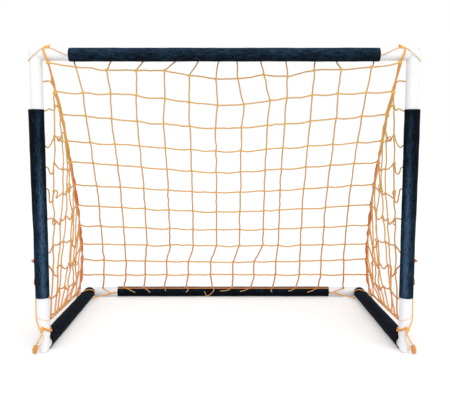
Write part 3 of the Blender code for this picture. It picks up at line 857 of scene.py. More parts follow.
ROPE = LaidFibre(
    "tie_rope", Slot.ROPE, pale=(0.96, 0.62, 0.22), ochre=(0.93, 0.47, 0.090), red=(0.86, 0.150, 0.024),
    groove=(0.55, 0.150, 0.025), bright=(1.00, 0.57, 0.080), strands=4, pitch=0.009, relief_depth=0.0004,
)


def link(obj: bpy.types.Object) -> None:
    """Puts an object into the scene."""
    bpy.context.scene.collection.objects.link(obj)


def add_piece(
    name: str, surface: Surface, finish: Finish, *replaced: str, slot: Slot | None = None
) -> bpy.types.Object:
    """Makes an object of a surface, which rides on the frame and may stand for CAD nodes.

    Args:
        name: the piece's name.
        surface: its shape.
        finish: its finish.
        replaced: CAD nodes that it stands for.
        slot: the record's material slot, where it isn't the finish's own; not used.

    Returns:
        The new object.
    """
    piece = bpy.data.objects.new(name, make_mesh(name, surface))
    link(piece)
    piece.data.materials.append(finish.material())
    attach(piece, BODY)
    if replaced:
        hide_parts(*replaced)
    log.info("%s: %d triangles", name, len(surface.quads) * 2 + len(surface.triangles))
    return piece


def dress_node(node: str, finish: Finish) -> None:
    """Gives a CAD node a finish.

    Args:
        node: the node's name.
        finish: its finish.
    """
    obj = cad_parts[node]
    obj.data.materials.clear()
    obj.data.materials.append(finish.material())
    log.info("%s: %s", node, finish.name)


def drawn(points: Places, side: Side, step: float = CORD_STEP) -> Array:
    """A smooth path through points that are given as for placed()."""
    return smooth_path(placed(points, side), step)


@dataclass(frozen=True)
class NetPlan:
    """Where the knots of the net are, in the same terms as the part's source.

    Shares are across the goal, -1 on the left to 1 on the right. The side panels' ways are the places
    that each slack row goes through, as a share of the way from the upright to the slope rope and a
    height, and `tied` numbers those of them that are knots on the strands.
    """

    columns: int = 13
    rows: int = 12
    middle_sag: float = 0.060
    second_lift: float = 0.013
    foot_row: int = 10
    head_gap: float = 0.0050
    head_drop: float = 0.0110
    rear_inset: float = 0.0258
    rear_reach: float = 0.773
    rear_rope_turn: float = math.radians(40)
    slope_rope: float = 0.008
    twine: float = 0.0045
    side_slack: float = 0.012
    ground_rope: float = 0.006
    edge_knots: Levels = (0.069, 0.189, 0.304, 0.433, 0.546, 0.685, 0.817, 0.955, 1.088, 1.197, 1.302)
    middle_knots: Levels = (0.061, 0.171, 0.273, 0.383, 0.495, 0.613, 0.736, 0.863, 0.988, 1.132, 1.254)
    head_shares: Levels = (
        -1, -0.87, -0.645, -0.45, -0.26, -0.14, -0.03, 0.07, 0.21, 0.355, 0.52, 0.64, 0.865, 1,
    )
    first_shares: Levels = (
        -1, -0.85, -0.68, -0.51, -0.345, -0.205, -0.05, 0.08, 0.23, 0.37, 0.52, 0.675, 0.845, 1,
    )
    second_shares: Levels = (
        -1, -0.84, -0.68, -0.53, -0.36, -0.215, -0.04, 0.12, 0.28, 0.38, 0.53, 0.68, 0.845, 1,
    )
    body_shares: Levels = (
        -1, -0.855, -0.70, -0.545, -0.382, -0.218, -0.055, 0.108, 0.273, 0.38, 0.537, 0.695, 0.849, 1,
    )
    foot_shares: Levels = (
        -1, -0.853, -0.70, -0.563, -0.412, -0.257, -0.10, 0.063, 0.213, 0.366, 0.538, 0.687, 0.845, 1,
    )
    rear_shares: Levels = (
        -1, -0.86, -0.71, -0.575, -0.425, -0.27, -0.087, 0.055, 0.185, 0.34, 0.505, 0.66, 0.845, 1,
    )
    first_drops: Levels = (0, 0.26, 0.44, 0.47, 0.47, 0.79, 1, 0.99, 0.74, 0.85, 0.47, 0.41, 0.26, 0)
    post_knots: Levels = (1.092, 0.975, 0.840, 0.754, 0.661, 0.543, 0.410, 0.348, 0.220, 0.124)
    ground_knots: Levels = (0.056, 0.116, 0.170, 0.230, 0.279, 0.339, 0.418, 0.565, 0.669)
    side_ways: tuple[Spots, ...] = (
        ((0.083, 1.093), (0.443, 1.095), (0.706, 1.087), (0.876, 1.068)),
        ((0.075, 0.976), (0.191, 0.982), (0.311, 0.987), (0.434, 0.981), (0.580, 0.999), (0.711, 1.000),
         (0.819, 0.992), (0.930, 0.991)),
        ((0.076, 0.840), (0.151, 0.831), (0.247, 0.844), (0.323, 0.862), (0.396, 0.878), (0.444, 0.876),
         (0.556, 0.863), (0.715, 0.856), (0.693, 0.874), (0.771, 0.889), (0.930, 0.890)),
        ((0.065, 0.753), (0.121, 0.748), (0.142, 0.734), (0.177, 0.723), (0.246, 0.729), (0.303, 0.765),
         (0.391, 0.750), (0.482, 0.739), (0.582, 0.739), (0.676, 0.737), (0.761, 0.732), (0.904, 0.740)),
        ((0.096, 0.662), (0.125, 0.637), (0.130, 0.613), (0.162, 0.603), (0.206, 0.612), (0.239, 0.650),
         (0.295, 0.648), (0.301, 0.638), (0.267, 0.624), (0.293, 0.619), (0.362, 0.627), (0.490, 0.632),
         (0.562, 0.625), (0.614, 0.638), (0.684, 0.638)),
        ((0.075, 0.538), (0.134, 0.538), (0.200, 0.529), (0.255, 0.518), (0.311, 0.502), (0.365, 0.522),
         (0.420, 0.511), (0.515, 0.526), (0.573, 0.515), (0.652, 0.503), (0.737, 0.525), (0.809, 0.547)),
        ((0.060, 0.398), (0.107, 0.409), (0.157, 0.417), (0.194, 0.419), (0.249, 0.414), (0.308, 0.415),
         (0.396, 0.416), (0.474, 0.404), (0.605, 0.402), (0.634, 0.379), (0.738, 0.358)),
        ((0.045, 0.343), (0.074, 0.335), (0.111, 0.318), (0.133, 0.304), (0.167, 0.288), (0.212, 0.278),
         (0.234, 0.315), (0.309, 0.314), (0.372, 0.291), (0.435, 0.285), (0.517, 0.296), (0.541, 0.273),
         (0.624, 0.285), (0.727, 0.298)),
        ((0.040, 0.206), (0.082, 0.200), (0.135, 0.198), (0.207, 0.206), (0.243, 0.216), (0.312, 0.204),
         (0.392, 0.201), (0.440, 0.182), (0.478, 0.172), (0.544, 0.178), (0.650, 0.173), (0.745, 0.162),
         (0.829, 0.201), (0.920, 0.205)),
    )
    tied: tuple[tuple[int, ...], ...] = (
        (), (4,), (4, 7), (5, 8, 10), (5, 11, 13, 14), (2, 5, 7, 10, 11), (2, 5, 6, 8, 9, 10),
        (3, 6, 7, 10, 11, 12, 13), (1, 3, 4, 6, 8, 10, 11, 12),
    )
    slope_route: tuple[Point, ...] = (
        (0.7000, -0.0160, 1.2185), (0.6980, -0.0262, 1.2080), (0.6940, -0.0292, 1.1930),
        (0.6885, -0.0265, 1.1760), (0.6830, -0.0120, 1.1560), (0.6740, 0.0370, 1.0600),
        (0.6700, 0.1150, 0.9650), (0.6710, 0.2150, 0.8100), (0.6800, 0.3450, 0.6550),
        (0.7000, 0.5050, 0.4550), (0.7220, 0.6350, 0.2800), (0.7440, 0.7020, 0.1550),
        (0.7600, 0.7150, 0.0850), (0.7735, 0.7180, 0.0450),
    )
    ground_route: tuple[Point, Point] = ((0.7210, 0.0400, 0.1210), (0.7500, 0.6880, 0.0760))

    def slope_path(self, side: Side) -> Array:
        """The slope rope's line on one side."""
        return drawn(self.slope_route, side, 0.010)

    def edge_knot(self, row: int) -> Array:
        """Where a row of the back panel meets the slope rope on the right."""
        return point_along(self.slope_path(Side.RIGHT), self.edge_knots[row - 1])

    def middle_knot(self, row: int) -> Array:
        """A row's lowest place: a straight fall from crossbar to rear bar, with a sag.

        Args:
            row: 1 to 11.

        Returns:
            Its place.
        """
        top = np.array([GOAL.front_y + 0.030, GOAL.bar_z - 0.028])
        foot = np.array([GOAL.rear_y - 0.017, 0.060])
        share = self.middle_knots[row - 1] / np.linalg.norm(foot - top)
        at = top + (foot - top) * share
        return np.array([0, at[0], at[1] - self.middle_sag * 4 * share * (1 - share)])

    def back_knot(self, column: int, row: int) -> Array:
        """A knot of the back panel.

        Each row runs from the slope rope towards the middle knot by the weight (1 - |across|^1.3)^power,
        or by its own weights in row 1, and stands across the goal by its column's share of the rope's
        distance.

        Args:
            column: 0 on the left to 13 on the right.
            row: 0 on the head rope to 12 on the rear bar.

        Returns:
            Its place.
        """
        if row == 0:
            reach = self.edge_knot(1)[0]
            y = GOAL.front_y + GOAL.cover_r + self.head_gap
            return np.array([self.head_shares[column] * reach, y, GOAL.bar_z - self.head_drop])
        if row == self.rows:
            across = self.rear_shares[column] * self.rear_reach
            return np.array([across, GOAL.rear_y - self.rear_inset, GOAL.rail_z + self.rear_inset])
        body = self.body_shares if row < self.foot_row else self.foot_shares
        across = {1: self.first_shares, 2: self.second_shares}.get(row, body)[column]
        edge, middle = self.edge_knot(row), self.middle_knot(row)
        power = min(0.7 + 0.3 * row, 1.4 - (row / self.rows) ** 2)
        weight = self.first_drops[column] if row == 1 else (1 - abs(across) ** 1.3) ** power
        place = edge + (middle - edge) * weight
        place[0] = across * edge[0]
        if row == 2:
            place[2] += self.second_lift * math.sin(math.pi * across) ** 2
        return place

    def back_knots(self) -> Array:
        """All knots of the back panel, 14 columns by 13 rows, with the edge columns beside the ropes.

        Returns:
            Their places, columns x rows x 3.
        """
        columns, rows = range(self.columns + 1), range(self.rows + 1)
        grid = np.array([[self.back_knot(c, r) for r in rows] for c in columns])
        for column, sign in ((0, -1), (self.columns, 1)):
            grid[column, self.rows] = grid[column, self.rows - 1] + [sign * 0.0120, 0.0010, -0.0600]
            grid[column, :, 0] -= sign * (self.slope_rope / 2 + self.twine)
        return grid

    def panel_places(self, spots: Sequence[tuple[float, float]], side: Side) -> Array:
        """Places on a side panel, which bows inwards between the upright and the slope rope.

        Each is the upright's place plus the share of the way to the slope rope at its height, less a half
        sine of the share, sideways.

        Args:
            spots: pairs of a share of the way and a height.
            side: which panel.

        Returns:
            The places.
        """
        share, height = np.array(spots, float).T
        rope = self.slope_path(side)[::-1]
        edge = np.stack([np.interp(height, rope[:, 2], rope[:, axis]) for axis in range(3)], axis=1)
        post = placed([(GOAL.post_x - 0.006, 0.038, level) for level in height], side)
        place = post + (edge - post) * share[:, None]
        place[:, 0] -= side.value * self.side_slack * np.sin(math.pi * share)
        return place

    def side_knot(self, strand: int, row: int, side: Side) -> Array:
        """A knot of a side panel.

        Strand 0 runs down the upright. Each other one hangs from the slope rope, one row lower than the
        last, and ends on the ground rope.

        Args:
            strand: 0 at the upright to 9 at the back.
            row: 1 at the top to 10 on the ground rope.
            side: which panel.

        Returns:
            Its place.
        """
        if strand == 0:
            return self.panel_places([(0.0, self.post_knots[row - 1])], side)[0]
        if row == strand:
            inset = self.slope_rope / 2 + self.twine
            lean = np.array([side.value * 0.002, -inset * 0.9, -inset * 0.6])
            return self.edge_knot(strand + 1) * [side.value, 1, 1] + lean
        if row < len(self.post_knots):
            spot = self.side_ways[row - 1][self.tied[row - 1][strand - 1]]
            return self.panel_places([spot], side)[0]
        start, end = placed(self.ground_route, side)
        share = (self.ground_knots[strand - 1] + GOAL.front_y - start[1]) / (end[1] - start[1])
        return start + (end - start) * share + [0, 0, self.ground_rope / 2 + self.twine]


PLAN = NetPlan()


def slack_strands(
    starts: Array, ends: Array, droop: Levels | float, rng: np.random.Generator, wander: float
) -> Array:
    """Lengths of twine between pairs of knots, each hanging a little and wandering.

    The line is straight, less the droop times four share (1 - share) in height, plus waves of one, two,
    three and five half turns, whose sizes are drawn at random.

    Args:
        starts: S x 3 first ends.
        ends: S x 3 second ends.
        droop: how far each hangs at its middle.
        rng: the seeded source of the waves.
        wander: size of the waves.

    Returns:
        S x TWINE_POINTS x 3 places.
    """
    share = np.linspace(0, 1, TWINE_POINTS)[:, None]
    line = starts[:, None] + (ends - starts)[:, None] * share
    line[:, :, 2] -= np.reshape(droop, (-1, 1)) * (4 * share * (1 - share))[:, 0]
    for waves in (1, 2, 3, 5):
        line += rng.normal(0, wander / waves, (len(starts), 1, 3)) * np.sin(share * math.pi * waves)
    return line


@dataclass
class BackNet:
    """The back panel: hand-tied twine from the head rope to the rear bar, between the slope ropes."""

    diameter: float = 0.0057
    knot: Point = (0.0135, 0.0105, 0.0125)
    wander: float = 0.0015
    fuller: float = 0.42
    droops: tuple[float, float] = (0.001, 0.004)
    first_droop: float = 0.0005
    loop_reach: float = 0.0052
    loop_climb: float = 0.0012
    loop_place: tuple[float, float] = (0.0033, -0.0005)
    seed: int = 41

    def build(self) -> None:
        """Builds the twine, which is slack and fuller at the ground, and its knots as one piece."""
        rng = np.random.default_rng(self.seed)
        knots, rows, columns = PLAN.back_knots(), PLAN.rows, PLAN.columns
        column, row = np.array([(c, r) for r in range(1, rows) for c in range(columns)]).T
        droops = [rng.uniform(*self.droops) if r > 1 else self.first_droop for r in row]
        across = slack_strands(knots[column, row], knots[column + 1, row], droops, rng, self.wander)
        level = (row / rows)[:, None]
        parts = [sweep(across, self.diameter / 2 * (1 + self.fuller * level), tint=0.35 * level**1.5)]
        column, row = np.array([(c, r) for c in range(1, columns) for r in range(rows)]).T
        down = slack_strands(knots[column, row], knots[column, row + 1], 0.0, rng, self.wander)
        level = (row / rows)[:, None]
        radius = self.diameter / 2 * (1 + self.fuller * level)
        parts.append(sweep(down, radius, tint=0.05 + 1.25 * level**2.2))
        column, row = np.array([(c, r) for r in range(1, rows) for c in range(1, columns)]).T
        turns = rng.uniform(-0.7, 0.7, len(row))
        parts.append(lumps(knots[column, row], self.knot, turns, -0.80 + 0.45 * row / rows))
        parts.append(self._head_loops(knots[1:-1, 0, 0]))
        add_piece("back_net", Surface.join(parts), TWINE, "net_back")

    def _head_loops(self, across: Array) -> Surface:
        """The turn of each column's twine round the head rope: a ring about X, at each top end.

        Args:
            across: how far each column stands from the middle.

        Returns:
            The rings' surface.
        """
        turn = np.linspace(-0.6, 4.6, 16)
        reach, (behind, above) = self.loop_reach, self.loop_place
        ring = np.stack([self.loop_climb * turn, reach * np.cos(turn), reach * np.sin(turn)], axis=1)
        tops = np.array([(x, GOAL.front_y + GOAL.cover_r + behind, GOAL.bar_z + above) for x in across])
        return sweep(tops[:, None] + ring, self.diameter * 0.42, 7, tint=0.2)


@dataclass
class SideNet:
    """A side panel: strands that hang from the slope rope, crossed by slack rows from the upright.

    The bights are open loops of twine beside the strands: share of the way, height and radius.
    """

    side: Side
    diameter: float = 0.0056
    knot: Point = (0.0130, 0.0125, 0.0150)
    wander: float = 0.0022
    sway: float = 0.002
    seed: int = 17
    bights: tuple[Point, ...] = (
        (0.200, 0.516, 0.0085), (0.560, 0.866, 0.0085), (0.700, 0.640, 0.0080), (0.720, 0.660, 0.0090),
        (0.720, 0.270, 0.0100), (0.650, 0.400, 0.0070), (0.880, 0.190, 0.0080),
    )

    def build(self) -> None:
        """Builds the twine and its knots as one piece."""
        rng = np.random.default_rng(self.seed)
        rows = len(PLAN.post_knots)
        keys = [(k, r) for r in range(1, rows + 1) for k in range(min(r, rows - 1) + 1)]
        places = {(k, r): PLAN.side_knot(k, r, self.side) for k, r in keys}
        pairs = [
            *(((k, r), (k, r + 1)) for k, r in keys if (k, r + 1) in places),
            *(((r, r), (r + 1, r + 1)) for r in range(1, rows - 1)),
            *(((k, rows), (k + 1, rows)) for k in range(rows - 1)),
        ]
        starts, ends = (np.array([places[key] for key in column]) for column in zip(*pairs))
        lines = slack_strands(starts, ends, 0.0, rng, self.wander)
        level = np.array([[row / rows] for (_, row), _ in pairs])
        row_reach, row_tint = (np.linspace(*span, rows - 1)[:, None] for span in ((1.0, 1.25), (-0.30, 0.95)))
        tied = [key for key in keys if key[0] > 0]
        knot_tint = np.array([-0.58 + 0.65 * row / rows for _, row in tied])
        parts = [
            sweep(lines, self.diameter / 2 * (1 + 0.25 * level), tint=-0.50 + 1.25 * level),
            sweep(self._row_lines(places, rng), self.diameter / 2 * row_reach, tint=row_tint),
            lumps([places[key] for key in tied], self.knot, rng.uniform(-1, 1, len(tied)), knot_tint),
            self._bight_rings(rng),
        ]
        add_piece(self.side.named("side_net"), Surface.join(parts), TWINE, self.side.named("net_side"))

    def _row_lines(self, places: dict[tuple[int, int], Array], rng: np.random.Generator) -> Array:
        """Rows 1 to 9: smooth curves through their places, with shallow sine waves out of the panel.

        Args:
            places: the knots by strand and row.
            rng: the seeded source of the waves.

        Returns:
            9 x ROW_POINTS x 3 points.
        """
        lines = []
        share = np.linspace(0, 1, ROW_POINTS)
        for row, spots in enumerate(PLAN.side_ways, 1):
            through = PLAN.panel_places(spots, self.side)
            path = smooth_path(np.vstack([places[0, row], through, places[row, row]]), FINE_STEP)
            line = point_along(path, share * lengths_along(path)[-1])
            for waves in (1, 2, 3):
                line[:, 0] += rng.normal(0, self.sway / waves) * np.sin(share * math.pi * 3 * waves)
            lines.append(line)
        return np.array(lines)

    def _bight_rings(self, rng: np.random.Generator) -> Surface:
        """Small open loops that hang beside some knots: rings of twine, turned at random about Z.

        Args:
            rng: the seeded source of the turns.

        Returns:
            The loops' surface.
        """
        turn = full_circle(14)
        centres = PLAN.panel_places([bight[:2] for bight in self.bights], self.side)
        rings = []
        for centre, (_, _, reach) in zip(centres, self.bights):
            lean = rng.uniform(-0.6, 0.6)
            ways = (0.85 * math.cos(lean) * np.cos(turn), math.sin(lean) * np.cos(turn), 1.1 * np.sin(turn))
            rings.append(centre + reach * np.stack(ways, axis=1))
        return sweep(rings, self.diameter * 0.45, 7, closed=True, tint=0.35)


@dataclass
class Ropes:
    """The ropes that the net hangs on: two down the slopes, two along the ground, one behind each bar."""

    slope: float = 0.0086
    slope_pitch: float = 0.030
    slope_tints: Levels = (0.0, 0.5, -0.7, 0.0, 0.6, 0.9, 1.1, 1.3, 1.4, 1.4, 1.3)
    ground: float = 0.0060
    head: float = 0.0060
    head_reach: float = 0.675
    lace: float = 0.0032
    lace_reach: float = 0.0044
    lace_pitch: float = 0.210
    lace_tints: Spots = ((0, 0.3), (0.10, 0.5), (0.20, -0.7), (0.30, 0.0), (0.45, 0.8), (0.7, 1.3), (1, 1.4))
    knot: Point = (0.0165, 0.0155, 0.0175)

    def build(self) -> None:
        """Builds them all."""
        for side in Side:
            path = PLAN.slope_path(side)
            slope = laid_rope(path, self.slope, self.slope_tints, self.slope_pitch)
            add_piece(side.named("slope_rope_dressed"), slope, ROPE, side.named("slope_rope"))
            self._lacing(side, path)
            ground = laid_rope(drawn(PLAN.ground_route, side, 0.02), self.ground, 0.45)
            add_piece(side.named("ground_rope_dressed"), ground, ROPE, side.named("ground_rope"))
        behind = GOAL.front_y + GOAL.cover_r + self.head / 2 + GOAL.gap
        spots = ((-self.head_reach, 0), (0, 0.001), (self.head_reach, 0))
        head = smooth_path([(x, behind, GOAL.bar_z - sag) for x, sag in spots], ROPE_STEP)
        add_piece("head_rope_dressed", laid_rope(head, self.head, 0.3), ROPE, "head_rope")
        reach = GOAL.cover_r + self.ground / 2 + GOAL.gap
        before = GOAL.rear_y - reach * math.sin(PLAN.rear_rope_turn)
        above = GOAL.rail_z + reach * math.cos(PLAN.rear_rope_turn)
        rear = smooth_path([(end, before, above) for end in GOAL.rear_cover_ends], ROPE_STEP)
        add_piece("rear_rope_dressed", laid_rope(rear, self.ground, 0.8), TWINE, "rear_rope", slot=Slot.ROPE)

    def _lacing(self, side: Side, path: Array) -> None:
        """The edge twine wound round the slope rope, and its knots where the rows meet it.

        Two twines run on either side of the rope's line, 4 to 6 mm from it on its cross directions. They
        make a turn in each 210 mm, from the first row's knot down, and thicken by a third to the ground.

        Args:
            side: which rope.
            path: the rope's line.
        """
        total = lengths_along(path)[-1]
        at = np.linspace(PLAN.edge_knots[0], total - 0.02, 230)
        line = point_along(path, at)
        _, across, upward = frames_along(line[None])
        turn = (at / self.lace_pitch * FULL_TURN + 0.5 * np.sin(at * 37))[:, None]
        fuller = np.interp(at / total, [0.05, 0.2, 0.6], [1.15, 1.0, 1.35])
        offset = ray(across[0], upward[0], turn) * self.lace_reach * fuller[:, None]
        tint = np.interp(at / total, *zip(*self.lace_tints))
        centres = point_along(path, PLAN.edge_knots)
        leans, tints_and_light = (np.linspace(*span, len(centres)) for span in ((-0.5, 0.5), (-0.6, 0.5)))
        twines = sweep([line + offset, line - offset], self.lace / 2 * fuller, 7, tint=tint)
        surface = Surface.join([twines, lumps(centres, self.knot, leans, tints_and_light)])
        add_piece(side.named("edge_lacing"), surface, ROPE)


@dataclass
class Sleeve:
    """A foam cover on a straight tube: a closed skin with soft ends, a bore and a lengthwise slit."""

    name: str
    node: str
    start: Point
    end: Point
    slit: Point
    phase: float
    # tint: how light or dark the foam is painted along the cover; glow: a painted highlight band round the
    # side that faces band
    tint: Levels
    glow: Levels
    radii: tuple[float, float] = (GOAL.cover_r, GOAL.cover_r)
    shifts: tuple[Point, Point] = (ORIGIN, ORIGIN)
    waist: tuple[float, float] = (0.0, 0.0)
    waist_width: float = 0.07
    groove: float = 0.0007
    groove_width: float = 0.045
    soft_end: float = 0.02
    band: Point = (0.0, -0.6, 0.8)
    band_width: float = 1.0
    floor: bool = False
    bore: float = GOAL.tube_r + 0.0001
    fill: float = 0.9
    sides: int = 72
    step: float = 0.006
    lip: float = 0.0016

    def surface(self) -> Surface:
        """The cover's skin.

        Round the axis, the outer radius is the cover's own plus shallow waves along and around it, less a
        groove of a Gaussian section at the slit. A waist is a Gaussian dent in the outer side.

        Returns:
            The surface, closed in both directions.
        """
        start, end = np.array(self.start), np.array(self.end)
        axis = unit(end - start)
        length = float(np.linalg.norm(end - start))
        slit = unit(np.array(self.slit) - axis * (np.array(self.slit) @ axis))
        turn = full_circle(self.sides)
        radial = ray(slit, np.cross(axis, slit), turn[:, None])
        along, drop = (given[:, None] for given in self._profile(length))
        share = along / length
        ease = np.clip(np.minimum(along, length - along) / self.soft_end, 0, 1)
        radius = self.radii[0] + (self.radii[1] - self.radii[0]) * share - drop
        radius = radius + self._waves(along, turn) * (0.35 + 0.65 * ease)
        radius -= self.groove * np.exp(-((np.minimum(turn, FULL_TURN - turn) / self.groove_width) ** 2))
        first, last = np.array(self.shifts)
        centres = start + axis * along + first + (last - first) * share
        if self.waist[1]:
            dent = np.exp(-(((along - self.waist[0]) / self.waist_width) ** 2))
            radius -= self.waist[1] * np.clip(radial @ unit(last), 0, 1) * dent
        outside = centres[:, None] + radial * radius[..., None]
        inside = start + axis * np.array([[[length]], [[0.0]]]) + radial * self.bore
        grid = np.concatenate([outside, inside])
        if self.floor:
            grid[:, :, 2] = np.maximum(grid[:, :, 2], GOAL.gap)
        tints_and_light = np.concatenate([self._tints_and_light(radial, share), np.zeros((2, self.sides))])
        return skin(grid[None], lengths_along(grid[[*range(len(grid)), 0], 0])[None], tints_and_light, True)

    def _profile(self, length: float) -> tuple[Array, Array]:
        """Places along the axis, and the drop of the radius there: quarter circles close the ends.

        Args:
            length: length of the cover.

        Returns:
            The places and the drops.
        """
        arc = np.linspace(0, math.pi / 2, 5)[:-1]
        late = arc[:-1] + math.pi / 8
        inner = np.linspace(self.lip, length - self.lip, max(8, round(length / self.step)))
        along = [self.lip * (1 - np.cos(arc)), inner, length - self.lip * (1 - np.sin(late)), [length]]
        drop = [self.lip * (1 - np.sin(arc)), 0 * inner, self.lip * (1 - np.cos(late)), [self.lip]]
        return np.concatenate(along), np.concatenate(drop)

    def _tints_and_light(self, radial: Array, share: Array) -> Array:
        """Painted light and shade of each point: tint plus glow times a Gaussian of the angle to the band.

        Tint and glow run straight between levels that are spread evenly from the start to the end.

        Args:
            radial: outward directions round the cover.
            share: shares of its length, one a row.

        Returns:
            A painted light level for each place along and round it.
        """
        facing = np.arccos(np.clip(radial @ unit(np.array(self.band)), -1, 1))
        levels = (self.tint, self.glow)
        tint, glow = (np.interp(share, np.linspace(0, 1, len(given)), given) for given in levels)
        return tint + glow * np.exp(-((facing / self.band_width) ** 2))

    def _waves(self, along: Array, turn: Array) -> Array:
        """Shallow hollows of the foam: a sum of long sines along the cover and around it.

        Args:
            along: places along the axis, one a row.
            turn: turns round it.

        Returns:
            The change of the radius.
        """
        p = self.phase
        return (
            0.00028 * np.sin(along * 19 + p + np.cos(turn + p))
            + 0.00020 * np.sin(along * 47 + 2 * turn + 2 * p)
            + 0.00014 * np.sin(along * 83 - 3 * turn + 5 * p)
            + 0.00016 * np.sin(2 * turn + along * 7 + p)
        )

    def build(self) -> None:
        """Builds the cover in place of its CAD node."""
        add_piece(self.name, self.surface(), FOAM, self.node)


@dataclass
class Covers:
    """The six foam covers."""

    # Way that the painted highlight band faces on the rear bar and the side rails: up and a little forwards.
    up: Point = (0.0, -0.3, 0.95)

    def build(self) -> None:
        """Builds them all."""
        half, front, low = GOAL.crossbar_cover_half, GOAL.front_y, GOAL.rail_z
        left, right = GOAL.rear_cover_ends
        # The crossbar's glow is a painted highlight band on its front and top, the sleeve's default band.
        Sleeve(
            "crossbar_foam", "crossbar_cover", (-half, front, GOAL.bar_z), (half, front, GOAL.bar_z),
            slit=(0, 0.45, -1), phase=0.4, tint=(0.20,), glow=(0.44, 0.40, 0.44),
        ).build()
        # The rear bar's glow is a painted highlight band along its top.
        Sleeve(
            "rear_bar_foam", "rear_bar_cover", (left, GOAL.rear_y, low), (right, GOAL.rear_y, low),
            slit=(0, 0.8, -1), phase=1.9, tint=(-0.12,), glow=(0.64,), band=self.up, band_width=0.85,
        ).build()
        for side in Side:
            self._beside(side)

    def _beside(self, side: Side) -> None:
        """The covers of one side's upright and side rail.

        Args:
            side: which side.
        """
        sign, x, front, low = side.value, side.value * GOAL.post_x, GOAL.front_y, GOAL.rail_z
        foot, top = GOAL.post_cover_ends
        # The upright's tint paints it lighter towards the foot and darker at the top; its glow is a painted
        # highlight band on the side that faces inwards and forwards.
        Sleeve(
            side.named("upright_foam"), side.named("upright_cover"), (x, front, foot), (x, front, top),
            slit=(sign * 0.5, 1, 0), phase=2.6 * sign,
            tint=(0.28, 0.38, 0.18, -0.03, -0.05), glow=(0.82, 0.77, 0.97, 0.55, 0.33),
            radii=GOAL.post_cover_radii, shifts=tuple((sign * out, 0, 0) for out in GOAL.post_cover_offsets),
            waist=(0.245, 0.0022), band=(-sign * 0.47, -0.883, 0.0), band_width=0.45,
        ).build()
        # The side rail's glow is a faint painted highlight band along its top.
        Sleeve(
            side.named("side_rail_foam"), side.named("side_rail_cover"),
            (x, front + GOAL.rail_cover_start, low), (x, GOAL.rear_y - GOAL.tube_r - GOAL.gap, low),
            slit=(sign, 0, -0.6), phase=3.3 * sign, tint=(0.0,), glow=(0.10,), band=self.up, floor=True,
            radii=GOAL.rail_cover_radii,
            shifts=tuple((sign * out, 0, up) for out, up in GOAL.rail_cover_offsets),
        ).build()


@dataclass
class Tubes:
    """The steel tubes: the CAD nodes in powder coat, with a weld bead on each mitre."""

    words: tuple[str, ...] = (
        "crossbar", "rear_bar", "upright", "corner_arm", "foot_spigot", "foot_leg", "side_rail",
    )
    bead: float = 0.0013
    sink: float = 0.0004

    def build(self) -> None:
        """Dresses the tubes and adds the beads."""
        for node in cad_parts:
            if node.startswith(self.words) and "cover" not in node:
                dress_node(node, COAT)
        for side in Side:
            sign, x = side.value, side.value * GOAL.post_x
            beads = [
                self._bead((x, GOAL.front_y, GOAL.bar_z), (0, 0, 1), (-sign, 0, 1), GOAL.tube_r),
                self._bead((x, GOAL.front_y, GOAL.rail_z), (0, 0, 1), (0, 1, -1), GOAL.slim_r),
                self._bead((x, GOAL.rear_y, GOAL.rail_z), (0, 1, 0), (-sign, 1, 0), GOAL.tube_r),
            ]
            add_piece(side.named("weld_beads"), Surface.join(beads), COAT)

    def _bead(self, corner: Point, along: Point, normal: Point, radius: float) -> Surface:
        """A bead on the line where a tube meets the mitre plane.

        Each point of the tube's circle slides along the tube until it lies on the plane.

        Args:
            corner: the crossing of the two centre lines.
            along: the tube's direction.
            normal: normal of the mitre plane.
            radius: radius of the tube.

        Returns:
            A closed round bead with a slight ripple.
        """
        turn = full_circle(96)
        axis, face = np.array(along, float), unit(np.array(normal, float))
        first = unit(np.cross(axis, face))
        circle = ray(first, np.cross(axis, first), turn[:, None]) * (radius - self.sink)
        slide = -(circle @ face) / (axis @ face)
        line = np.array(corner) + circle + axis * slide[:, None]
        return sweep(line, self.bead * (1 + 0.12 * np.sin(turn * 40)), closed=True)


